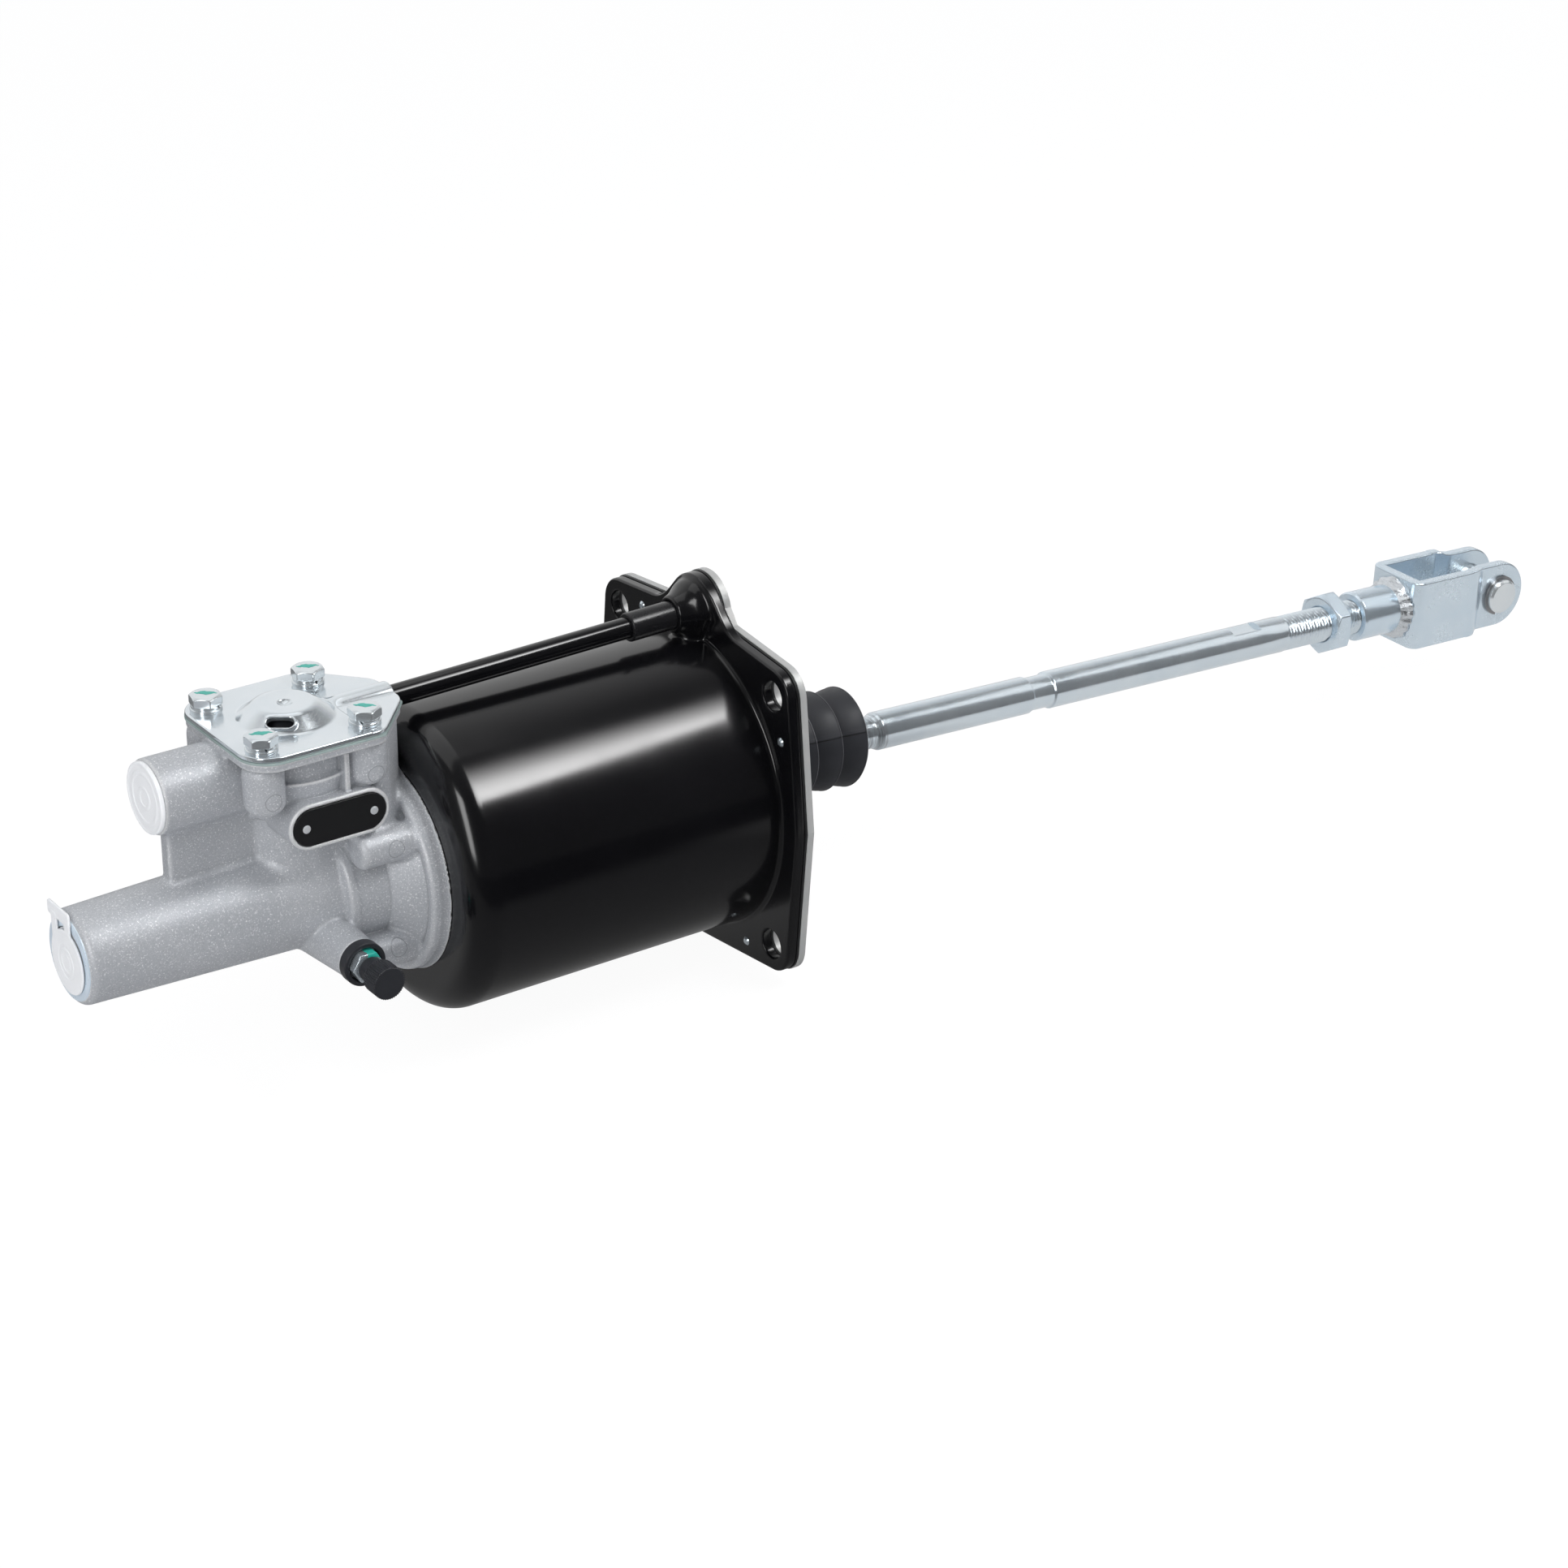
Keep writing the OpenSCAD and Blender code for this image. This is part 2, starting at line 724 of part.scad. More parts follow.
module valve_cover() {
    color("gainsboro")
        difference() {
            union() {
                translate([valve_x, 0, gasket_top])
                    linear_extrude(cover_t)
                        cover_outline();
                translate([valve_x, 0, cover_top])
                    cylinder(h = dome_h, r1 = dome_r, r2 = dome_top_r);
                intersection() {
                    pipe_line(channel_x - 4, cyl_x, channel_r + cover_t);
                    translate([channel_x - 4, -cover_half_w, gasket_top])
                        cube([cyl_x - channel_x + 4, 2 * cover_half_w, 2 * pipe_d]);
                }
            }
            // hollow under the dome, its dimple and its vent slot
            translate([valve_x, 0, gasket_top - run])
                cylinder(h = dome_h, r1 = dome_r - cover_t, r2 = dome_top_r);
            translate([valve_x, 0, cover_top + dome_h + 2.5])
                sphere(r = 3.6);
            translate([valve_x, 0, cover_top + dome_h / 2])
                rotate([0, 0, -vent_turn])
                    translate([0, -dome_r + 2.5, 0])
                        rotate([60, 0, 0])
                            translate([0, 0, -4])
                                linear_extrude(8)
                                    stadium(9, 3.4);
            pipe_line(channel_x, cyl_x + 5, channel_r);
            at_bolts()
                translate([0, 0, gasket_top - 1])
                    cylinder(h = cover_t + 2, r = m6_free_r);
        }
}

module cover_gasket() {
    color("darkgreen")
        difference() {
            translate([valve_x, 0, top_z])
                linear_extrude(cover_gasket_t)
                    cover_outline(-0.2);
            translate([valve_x, 0, top_z - 1])
                cylinder(h = 3, r = chamber_r);
            pipe_line(channel_x, cyl_x + 5, channel_r);
            at_bolts()
                translate([0, 0, top_z - 1])
                    cylinder(h = 3, r = m6_free_r);
        }
}

module cover_bolts() {
    color("lightsteelblue")
        at_bolts() {
            translate([0, 0, cover_top + washer_h])
                cylinder(h = bolt_head_h, r = bolt_af / sqrt(3), $fn = 6);
            translate([0, 0, top_z - bolt_reach + 1])
                cylinder(h = cover_top + washer_h - top_z + bolt_reach, r = m6_shank_r);
        }
}

module spring_washers() {
    color("lightsteelblue")
        at_bolts()
            translate([0, 0, cover_top])
                difference() {
                    cylinder(h = washer_h, r = washer_r);
                    translate([0, 0, -1])
                        cylinder(h = washer_h + 2, r = m6_r + seat);
                    translate([0, -0.4, -1])
                        cube([washer_r + 1, 0.8, washer_h + 2]);
                }
}

module vent_flap() {
    color("black")
        difference() {
            translate([valve_x, 0, top_z + soft])
                cylinder(h = dome_h - 1.4, r1 = dome_r - 4.4, r2 = dome_top_r - 1.2);
            translate([valve_x, 0, top_z - 1])
                cylinder(h = dome_h + 2, r = 5);
        }
}

module name_plate() {
    color("dimgray")
        difference() {
            translate([valve_x + name_offset, -name_face + name_t, name_z])
                rotate([90, 0, 0])
                    linear_extrude(name_t)
                        stadium(name_l, name_h);
            at_name_rivets()
                translate([0, 0, -1])
                    cylinder(h = name_t + 2, r = name_rivet_r + run);
        }
}

module name_plate_rivets() {
    color("silver")
        at_name_rivets() {
            translate([0, 0, -0.6])
                cylinder(h = 0.6, r = name_rivet_r + 0.5);
            cylinder(h = 6, r = name_rivet_r);
        }
}

module body_seal() {
    color("black")
        hoop(cyl_x - seal_wire / 2 - run, seal_circle_r, seal_wire / 2);
}

module body_screws() {
    color("lightsteelblue")
        at_screws() {
            bar(inner_x, inner_x + screw_head_h, screw_head_r);
            bar(cyl_x - screw_depth, inner_x, m6_shank_r);
        }
}

module pressure_cylinder() {
    in_r = cyl_r - cyl_wall;
    in_c = cyl_corner - cyl_wall;
    color("black")
        difference() {
            union() {
                difference() {
                    union() {
                        bar(cyl_x + cyl_corner, flange_x + flange_t, cyl_r);
                        bar(cyl_x, cyl_x + cyl_corner, cyl_r - cyl_corner);
                        hoop_solid(cyl_x + cyl_corner, cyl_r - cyl_corner, cyl_corner);
                        turned(flare());
                    }
                    bar(inner_x + in_c, 1, in_r);
                    bar(inner_x, inner_x + in_c + 1, in_r - in_c);
                    hoop_solid(inner_x + in_c, in_r - in_c, in_c);
                }
                plate(flange_x, flange_x + flange_t, in_r);
                // pressed boss that takes the breather hose
                translate([0, 0, pipe_z_flange])
                    difference() {
                        bar(flange_x - lobe_boss_h, flange_x + 1, lobe_r - 4.8, lobe_r - 0.4);
                        translate([flange_x - 2 * lobe_boss_h, -lobe_r, -lobe_r - pipe_z_flange])
                            cube([3 * lobe_boss_h, 2 * lobe_r, in_r + lobe_r]);
                    }
            }
            // openings for the casting's spigot, its screws and the air passage
            bar(cyl_x - 1, inner_x + 1, spigot_hole_r);
            at_screws()
                bar(cyl_x - 1, inner_x + 1, m6_free_r);
            translate([0, 0, air_way_z])
                bar(cyl_x - 1, inner_x + 1, air_way_r);
            // breather passage from the hose to the spring chamber
            pipe_line(flange_x - lobe_boss_h - 1, flange_x - 2, hose_d / 2 + run);
            translate([0, 0, pipe_z_flange])
                bar(flange_x - 3, flange_x + flange_t - 1, air_way_r);
            translate([flange_x + 0.8, -air_way_r, in_r - 2])
                cube([flange_t - 1.6, 2 * air_way_r, pipe_z_flange - in_r + 2]);
        }
}

// flare between the cylinder and its flange, as an outline with a concave quarter circle
function flare() = concat(
    [[flange_x - flare_r, cyl_r - 1]],
    [for (i = [0:8]) let (a = 90 * i / 8)
        [flange_x - flare_r + flare_r * sin(a), cyl_r + flare_r - flare_r * cos(a)]],
    [[flange_x + 1, cyl_r + flare_r], [flange_x + 1, cyl_r - 1]]);

// a solid torus with its middle filled
module hoop_solid(x, circle_r, wire_r) {
    translate([x, 0, 0])
        rotate([0, 90, 0])
            rotate_extrude() {
                translate([circle_r, 0])
                    intersection() {
                        circle(r = wire_r);
                        translate([0, -wire_r])
                            square([wire_r, 2 * wire_r]);
                    }
                translate([0, -wire_r])
                    square([circle_r, 2 * wire_r]);
            }
}

module flange_gasket() {
    color("dimgray")
        plate(-end_plate_t - flange_gasket_t, -end_plate_t, cyl_r - cyl_wall, 0.1);
}

module end_plate() {
    color("silver")
        difference() {
            plate(-end_plate_t, 0, bush_r, 0.4);
            bar(-dish_t, 1, dish_r);
        }
}

module flange_rivets() {
    color("silver")
        at_rivets() {
            bar(flange_x, 0, flange_rivet_d / 2);
            bar(flange_x - 0.5, flange_x, flange_rivet_d / 2 + 0.35);
        }
}

module breather_pipe() {
    color("black")
        difference() {
            pipe_line(cyl_x - 12, flange_x - 16, pipe_d / 2);
            pipe_line(cyl_x - 13, flange_x - 15, pipe_d / 2 - 1);
        }
}

module pipe_hose() {
    color("black")
        difference() {
            pipe_line(flange_x - 2.5 - hose_len, flange_x - 2.5, hose_d / 2);
            pipe_line(flange_x - 3.5 - hose_len, flange_x - 1.5, pipe_d / 2 + run);
        }
}

module hub_guide() {
    bore = piston_hub_r + run;
    color("ivory")
        turned([[-end_plate_t - bush_flange_t, bore], [-end_plate_t - bush_flange_t, bush_flange_r],
            [-end_plate_t, bush_flange_r], [-end_plate_t, bush_r], [0, bush_r], [0, bush_r - 0.3],
            [bead_x0 - seat, bush_r - 0.3], [bead_x0 - seat, bead_r], [bead_x1 + seat, bead_r],
            [bead_x1 + seat, bush_r - 0.3], [bush_end, bush_r - 1.2], [bush_end, bore]]);
}

// how far the hanging rod pulls the boot down at a distance from the mounting face
function droop(x) = -pow(x / last_fold, 2) * (last_fold - ball_x) * tan(rod_tilt) * 0.85;

module rubber_boot() {
    half = fold_pitch / 2;
    w = boot_wall;
    crest = 1.4;
    color([0.12, 0.12, 0.13]) {
        // bead on the guide and the wall that leads to the first fold
        turned([[bead_x0, bead_r + seat], [bead_x1, bead_r + seat], [bead_x1, bush_r],
            [bush_end + soft, bush_r], [bush_end + soft, valley_r - w],
            [first_fold - half + 0.7, valley_r - w], [first_fold - half + 0.7, bush_r + w],
            [bead_x1, fold_r - 0.4], [bead_x0, fold_r - 0.4]]);
        for (i = [0:folds - 1]) {
            x = first_fold + i * fold_pitch;
            last = i == folds - 1;
            translate([x, 0, droop(x)])
                turned(concat([[-half, valley_r - w], [-half, valley_r], [-crest, fold_r]],
                    last ? [[crest + 0.4, fold_r], [crest + 0.4, fold_r - w]]
                        : [[crest, fold_r], [half + 0.3, valley_r], [half + 0.3, valley_r - w],
                            [crest, fold_r - w]],
                    [[-crest, fold_r - w]]));
        }
        // end wall and neck on the push rod
        rod_frame()
            turned([[boot_end_s + 0.2, fold_r - w - 0.5], [boot_end_s + 0.2, fold_r - 0.5],
                [boot_end_s + crest, fold_r - 0.5], [seat_s - 1, seat_r + 4],
                [seat_s + 1, seat_r + 2.6], [seat_s + boot_lip_w, seat_r + 2.6],
                [seat_s + boot_lip_w, seat_r + seat], [seat_s + soft, seat_r + seat],
                [seat_s + soft, rod_r + 0.5], [seat_s - 2, rod_r + 0.5]]);
    }
}

module plunger_gland() {
    color("silver")
        ring(gland_x, cyl_x + 2, gland_r - run, plunger_rod_r + run);
}

module valve_seat() {
    color("khaki")
        translate([valve_x, 0, seat_ring_z])
            difference() {
                cylinder(h = seat_ring_h, r = chamber_r - run);
                translate([0, 0, -1])
                    cylinder(h = seat_ring_h + 2, r = stem_r + 1.5);
            }
}

module valve_cap() {
    color("silver")
        translate([valve_x, 0, cap_foot_z])
            difference() {
                cylinder(h = cap_h, r = chamber_r - run);
                translate([0, 0, -1])
                    cylinder(h = cap_h + 2, r = guide_r + run);
            }
}

module valve_circlip() {
    color("dimgray")
        translate([valve_x, 0, clip_z])
            difference() {
                cylinder(h = clip_t, r = chamber_r + clip_depth);
                translate([0, 0, -1])
                    cylinder(h = clip_t + 2, r = chamber_r - 2.4);
            }
}

module valve_spring() {
    color("silver")
        translate([valve_x, 0, 0])
            rotate([0, -90, 0])
                coil(poppet_z + poppet_h + run, cap_foot_z - run, 4.6, 0.5, 3, 8, 20);
}

module valve_poppet() {
    color("black")
        translate([valve_x, 0, 0]) {
            translate([0, 0, poppet_z + run])
                cylinder(h = poppet_h - run, r = poppet_r);
            translate([0, 0, poppet_z + poppet_h])
                cylinder(h = cap_foot_z - poppet_z - poppet_h + poppet_lift, r = guide_r);
            translate([0, 0, seat_ring_z])
                cylinder(h = seat_ring_h + 1, r = stem_r);
        }
}

module reaction_piston() {
    color("silver")
        translate([valve_x, 0, 0])
            difference() {
                union() {
                    translate([0, 0, reaction_foot_z])
                        cylinder(h = reaction_top_z - reaction_foot_z, r = reaction_r - run);
                    translate([0, 0, reaction_top_z - 1])
                        cylinder(h = seat_ring_z - poppet_gap - reaction_top_z + 1, r = stem_r);
                }
                translate([0, 0, reaction_foot_z + 8])
                    ring_cut(reaction_r - 1.4, 2.4);
            }
}

// a ring groove round Z, cut from radius r outwards
module ring_cut(r, h) {
    difference() {
        cylinder(h = h, r = r + 20);
        translate([0, 0, -1])
            cylinder(h = h + 2, r = r);
    }
}

module reaction_seal() {
    color("black")
        translate([valve_x, 0, reaction_foot_z + 9.2])
            rotate_extrude()
                translate([reaction_r - 0.75, 0])
                    circle(r = 0.6, $fn = 24);
}

module hydraulic_piston() {
    color("silver")
        difference() {
            union() {
                bar(plunger_x, plunger_x + plunger_len, plunger_r);
                bar(plunger_x + plunger_len, piston_x - run, plunger_rod_r);
            }
            for (x = plunger_grooves)
                ring(x, x + plunger_groove_w, bore_r + 5, bore_r - 2);
        }
}

module hydraulic_seals() {
    color("black")
        for (x = plunger_grooves)
            hoop(x + plunger_groove_w / 2, bore_r - 1.05, 0.9);
}

module air_piston() {
    hub_end = piston_hub_end;
    rim_x = piston_x + piston_rim_len;
    color("silver")
        difference() {
            turned([[piston_x, 0], [piston_x, piston_r], [rim_x, piston_r], [rim_x, piston_r - rim_wall],
                [piston_x + crown_t, piston_r - rim_wall], [piston_x + crown_t, piston_hub_r],
                [hub_end, piston_hub_r], [hub_end, 0]]);
            ring(lip_x, lip_x + lip_w, cyl_r, piston_r - lip_depth);
            ring(ring_x, ring_x + ring_w, cyl_r, piston_r - ring_depth);
            // socket for the rod's ball and the retainer's groove
            translate([ball_x, 0, 0])
                sphere(r = socket_r);
            bar(ball_x, hub_end + 1, hub_bore_r);
            bar(retainer_x, retainer_x + retainer_t + run, retainer_r + run);
        }
}

module piston_lip_seal() {
    color("black")
        ring(lip_x + run, lip_x + lip_w - run, cyl_r - cyl_wall - run, piston_r - lip_depth + run);
}

module piston_guide_ring() {
    color("ivory")
        ring(ring_x + run, ring_x + ring_w - run, cyl_r - cyl_wall - run, piston_r - ring_depth + run);
}

module rod_retainer() {
    color("dimgray")
        ring(retainer_x + run, retainer_x + retainer_t, retainer_r, retainer_bore_r);
}

module return_spring() {
    color("silver")
        coil(piston_x + crown_t + seat, -end_plate_t - seat, spring_d / 2, spring_wire / 2, spring_turns);
}

module push_rod() {
    color("lightsteelblue")
        rod_frame()
            difference() {
                union() {
                    sphere(r = ball_r);
                    turned([[0, 0], [0, neck_rod_r], [neck_rod_end, neck_rod_r], [neck_rod_end + 1, rod_r],
                        [seat_s - 0.8, rod_r], [seat_s, seat_r], [seat_s + seat_w, seat_r],
                        [seat_s + seat_w + rod_cone, rod_r], [groove_s, rod_r], [groove_s + 0.6, groove_r],
                        [groove_s + groove_w - 0.6, groove_r], [groove_s + groove_w, rod_r],
                        [thread_s, rod_r], [thread_s + 0.5, thread_r], [rod_len - 1.5, thread_r],
                        [rod_len, thread_r - 1.5], [rod_len, 0]]);
                }
                translate([flat_s, -rod_r, rod_r - flat_depth])
                    cube([flat_w, 2 * rod_r, flat_depth + 1]);
            }
}

module lock_nut() {
    corner = nut_af / sqrt(3);
    color("lightsteelblue")
        rod_frame()
            difference() {
                intersection() {
                    translate([nut_s, 0, 0])
                        rotate([0, 90, 0])
                            cylinder(h = nut_t, r = corner, $fn = 6);
                    turned([[nut_s, 0], [nut_s, nut_af / 2], [nut_s + 1, corner],
                        [nut_s + nut_t - 1, corner], [nut_s + nut_t, nut_af / 2], [nut_s + nut_t, 0]]);
                }
                bar(nut_s - 1, nut_s + nut_t + 1, thread_bore_r);
            }
}

module clevis_neck() {
    color("lightsteelblue")
        rod_frame()
            difference() {
                turned([[neck_s, 0], [neck_s, neck_r_out - 0.6], [neck_s + 0.8, neck_r_out],
                    [fork_s, neck_r_out], [fork_s, 0]]);
                bar(neck_s - 1, fork_s + 1, thread_bore_r);
            }
}

// plan of the fork: a U with its side plates stepped inwards to the ears
module fork_plan() {
    end = pin_s + ear_round + 1;
    b = 3;
    side = [[fork_s + b, fork_y], [jog_s, fork_y], [jog_s + jog_w, ear_y], [end, ear_y],
        [end, ear_y - fork_t], [jog_s + jog_w, ear_y - fork_t], [jog_s, fork_y - fork_t],
        [fork_s + fork_t + 1, fork_y - fork_t], [fork_s + fork_t, fork_y - fork_t - 1]];
    polygon(concat(side, [for (i = [len(side) - 1:-1:0]) [side[i][0], -side[i][1]]],
        [[fork_s, -fork_y + b], [fork_s, fork_y - b]]));
}

module clevis_fork() {
    color("lightsteelblue")
        rod_frame()
            difference() {
                intersection() {
                    translate([0, 0, -fork_h / 2])
                        linear_extrude(fork_h)
                            fork_plan();
                    rotate([90, 0, 0])
                        linear_extrude(fork_w + 2, center = true) {
                            translate([fork_s - 1, -fork_h / 2])
                                square([jog_s + jog_w / 2 - fork_s + 1, fork_h]);
                            translate([jog_s, -ear_round])
                                square([pin_s - jog_s, 2 * ear_round]);
                            translate([pin_s, 0])
                                circle(r = ear_round);
                        }
                }
                translate([pin_s, 0, 0])
                    rotate([90, 0, 0])
                        cylinder(h = fork_w + 4, r = pin_bore_r, center = true);
            }
}

module clevis_weld() {
    color("gainsboro")
        rod_frame()
            turned([[fork_s - weld_w, neck_r_out], [fork_s - weld_w * 0.6, neck_r_out + weld_w * 0.6],
                [fork_s, neck_r_out + weld_w * 0.8], [fork_s, neck_r_out]]);
}

module clevis_pin() {
    tip = ear_y + pin_proud;
    color("gainsboro")
        rod_frame()
            translate([pin_s, 0, 0])
                rotate([90, 0, 0])
                    difference() {
                        rotate_extrude()
                            polygon([[0, -ear_y - pin_head_t], [pin_head_r - 0.5, -ear_y - pin_head_t],
                                [pin_head_r, -ear_y - pin_head_t + 0.5], [pin_head_r, -ear_y - run],
                                [pin_r, -ear_y - run], [pin_r, tip - 0.8], [pin_r - 0.8, tip], [0, tip]]);
                        translate([0, 0, ear_y + run])
                            ring_cut(pin_r - 1, pin_clip_t + run);
                    }
}

module pin_clip() {
    color("dimgray")
        rod_frame()
            translate([pin_s, -ear_y - run, 0])
                rotate([90, 0, 0])
                    difference() {
                        cylinder(h = pin_clip_t, r = pin_r + 1.1);
                        translate([0, 0, -1])
                            cylinder(h = pin_clip_t + 2, r = pin_r - 0.95);
                        translate([-1.5, -pin_r - 3, -1])
                            cube([3, 6, pin_clip_t + 2]);
                    }
}

// the bleed screw's frame: its axis along Z, pointing out of the boss
module bleed_frame() {
    translate([bleed_x, -bleed_face, bleed_z])
        rotate([90, 0, 0])
            children();
}

module bleed_screw() {
    color("lightsteelblue")
        bleed_frame()
            difference() {
                union() {
                    translate([0, 0, 3 - bleed_depth])
                        cylinder(h = bleed_depth - 3, r = bleed_thread_r - run);
                    translate([0, 0, 0.6])
                        cylinder(h = 6, r = bleed_hex / sqrt(3), $fn = 6);
                    translate([0, 0, -1])
                        cylinder(h = 11, r = nipple_r);
                    translate([0, 0, 10])
                        cylinder(h = 3, r1 = nipple_r, r2 = 2.4);
                }
                translate([0, 0, -12])
                    cylinder(h = 30, r = 1);
            }
}

module bleed_cap() {
    ring_r = bleed_hex / sqrt(3) + 0.2;
    color("black")
        bleed_frame() {
            // strap ring round the screw's base
            difference() {
                cylinder(h = cap_ring_h, r = ring_r + cap_ring_w);
                translate([0, 0, -1])
                    cylinder(h = 6, r = ring_r);
            }
            // strap beside the hexagon
            translate([ring_r * 0.72, -ring_r * 0.72 - 1.2, 1])
                cube([2, 2.4, 8.6]);
            // sleeve and knurled knob over the nipple
            difference() {
                union() {
                    translate([0, 0, 7])
                        cylinder(h = 7, r = 4.3);
                    translate([1, -5, 7])
                        cube([4.6, 5, 2.6]);
                    translate([0, 0, knob_foot])
                        cylinder(h = knob_h, r = knob_r);
                }
                translate([0, 0, 6])
                    cylinder(h = 8, r = nipple_r + seat);
            }
        }
}

module hydraulic_plug() {
    face = insert_face;
    plug_r = insert_mouth_r;
    color("white") {
        difference() {
            union() {
                bar(face - 1.2, face, plug_r + 0.6);
                bar(face - 0.1, barrel_x + insert_len - insert_floor - 0.2, plug_r - 0.2);
            }
            bar(face, barrel_x + insert_len, plug_r - 1.6);
        }
        // pull tab over the barrel's edge
        difference() {
            translate([face - 1.2, -4.5, plug_r - 3])
                cube([1.2, 9, barrel_d / 2 - plug_r + 5]);
            translate([face - 2, -2.2, plug_r + 0.6])
                cube([3, 4.4, 2.6]);
        }
        translate([face - 1.2, -4.5, barrel_d / 2 + 0.8])
            cube([5, 9, 1.2]);
    }
}

module air_plug() {
    color("white")
        translate([0, 0, air_z])
            difference() {
                union() {
                    bar(air_x - 1.6, air_x, air_boss_d / 2 - 0.6);
                    bar(air_x - 0.1, air_x + air_port_depth - 4, air_port_d / 2 - run);
                }
                bar(air_x, air_x + air_port_depth, air_port_d / 2 - 1.6);
            }
}

cast_body();
barrel_insert();
valve_cover();
cover_gasket();
cover_bolts();
spring_washers();
vent_flap();
name_plate();
name_plate_rivets();
body_seal();
body_screws();
pressure_cylinder();
flange_gasket();
end_plate();
flange_rivets();
breather_pipe();
pipe_hose();
hub_guide();
rubber_boot();
plunger_gland();
valve_seat();
valve_cap();
valve_circlip();
valve_spring();
valve_poppet();
reaction_piston();
reaction_seal();
hydraulic_piston();
hydraulic_seals();
air_piston();
piston_lip_seal();
piston_guide_ring();
rod_retainer();
return_spring();
push_rod();
lock_nut();
clevis_neck();
clevis_fork();
clevis_weld();
clevis_pin();
pin_clip();
bleed_screw();
bleed_cap();
hydraulic_plug();
air_plug();
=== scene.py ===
"""Looks of an air-hydraulic clutch servo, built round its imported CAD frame.

All sizes in this script are in millimetres in the CAD's own frame, and meshes are scaled to
metres as they are made. +X runs along the push rod, +Z is up through the valve cover, -Y is
the side with the bleed screw.
"""
import json
import math

import bpy
import numpy as np
from mathutils import Matrix, Vector


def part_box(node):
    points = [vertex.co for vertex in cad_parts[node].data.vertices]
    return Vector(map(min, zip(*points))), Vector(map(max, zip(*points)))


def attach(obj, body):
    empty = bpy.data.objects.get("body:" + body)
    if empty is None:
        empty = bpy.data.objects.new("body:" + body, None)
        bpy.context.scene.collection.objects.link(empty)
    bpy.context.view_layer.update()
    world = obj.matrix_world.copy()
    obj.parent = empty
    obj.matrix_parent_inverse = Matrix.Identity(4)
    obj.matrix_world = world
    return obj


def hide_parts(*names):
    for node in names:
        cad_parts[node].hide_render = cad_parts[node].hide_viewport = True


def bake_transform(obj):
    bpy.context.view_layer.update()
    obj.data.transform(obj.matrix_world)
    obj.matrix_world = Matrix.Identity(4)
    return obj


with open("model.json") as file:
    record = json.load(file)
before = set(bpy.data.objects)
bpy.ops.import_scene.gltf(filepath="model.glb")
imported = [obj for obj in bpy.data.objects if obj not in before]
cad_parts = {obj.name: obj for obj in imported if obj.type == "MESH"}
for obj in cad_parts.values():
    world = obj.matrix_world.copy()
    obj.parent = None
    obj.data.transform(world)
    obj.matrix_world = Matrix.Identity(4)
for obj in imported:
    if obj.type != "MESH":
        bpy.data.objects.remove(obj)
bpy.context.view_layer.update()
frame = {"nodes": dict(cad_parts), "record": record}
nodes = frame["nodes"]
MM = 0.001
# degrees from which an edge is shaded sharp, and the four ways to mirror a corner
SHARP = 35
CORNERS = [(a, b) for a in (-1, 1) for b in (-1, 1)]

# Fineness of the meshes taken from distance fields: coarse while trying things.
STEP_SCALE = 1.0


def low(node):
    """Lowest corner of a CAD node, in millimetres."""
    return Vector(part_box(node)[0]) / MM


# Planes and places, from the frame where a node gives them.
CYL_X = low("pressure_cylinder").x
FLANGE_X = -7.2
BARREL_X = low("cast_body").x
AIR_X = -217.7
WEB_X = -213.4
VALVE_X = -167.1
BLEED_X = -162.6
BLEED_Z = -12.2
BLEED_FACE = 34.0
TOP_Z = 62.2
AIR_Z = 48.8
CYL_R = 54.0
BOLT_Y = 18.9
COVER_Z = 64.5
GASKET_Z = 63.0
SCREW_Y = 20.7
SCREW_Z = 19.3
HOLE_Y = 47.5
HOLE_R = 5.5
SIDE_REACH = 62.3
EAR_R = 10.0
LOBE_R = 12.6
PIPE_Z = 63.2
PIPE_Z_VALVE = 61.0
PIPE_R = 3.8
HOSE_R = 5.1
RIVET_R = 62.0
RIVET_ANGLE = 58.5
NAME_X = VALVE_X + 5.0
NAME_Y = -25.0
NAME_Z = 35.3
NAME_PITCH = 25.0
COVER_LEFT = 26.4
COVER_RIGHT = 38.4
COVER_HALF = 28.0
COVER_CORNER = 11.0
DOME_H = 5.0
DOME_R = 16.7
DOME_FLANK = 6.6
CHANNEL_START = 16.6
CHANNEL_RISE = 4.0
BARREL_R = 16.3
BARREL_ROOT_R = 19.5
BARREL_LEN = 112.5
PLUG_X = BARREL_X + 0.55
VENT_TURN = math.radians(35)
BOSS_R = 6.2
# middles of the ejector pins' marks on the casting's near side, as x and z
EJECTOR_R = 2.9
EJECTOR_MARKS = ((-186.0, 48.2), (-148.3, 48.2), (-142.9, 19.7), (-143.4, -17.0))

# The push rod hangs a little from its ball.
ROD_TILT = math.radians(2.96)
BALL_X = -17.9
ROD = Matrix.Translation((BALL_X, 0, 0)) @ Matrix.Rotation(ROD_TILT, 4, "Y")


# Meshes

def new_object(name, points, faces, place=None, sharp=SHARP, normals=None):
    """A mesh object from points in millimetres, shaded smooth except over sharp edges."""
    points = np.asarray(points, float)
    if place is not None:
        turn = np.array(place.to_3x3())
        points = points @ turn.T + np.array(place.translation)
        normals = None if normals is None else normals @ turn.T
    mesh = bpy.data.meshes.new(name)
    mesh.from_pydata((points * MM).tolist(), [], [list(map(int, f)) for f in faces])
    mesh.shade_smooth()
    if normals is not None:
        mesh.normals_split_custom_set_from_vertices(normals.tolist())
    else:
        mesh.set_sharp_from_angle(angle=math.radians(sharp))
    obj = bpy.data.objects.new(name, mesh)
    bpy.context.scene.collection.objects.link(obj)
    return obj


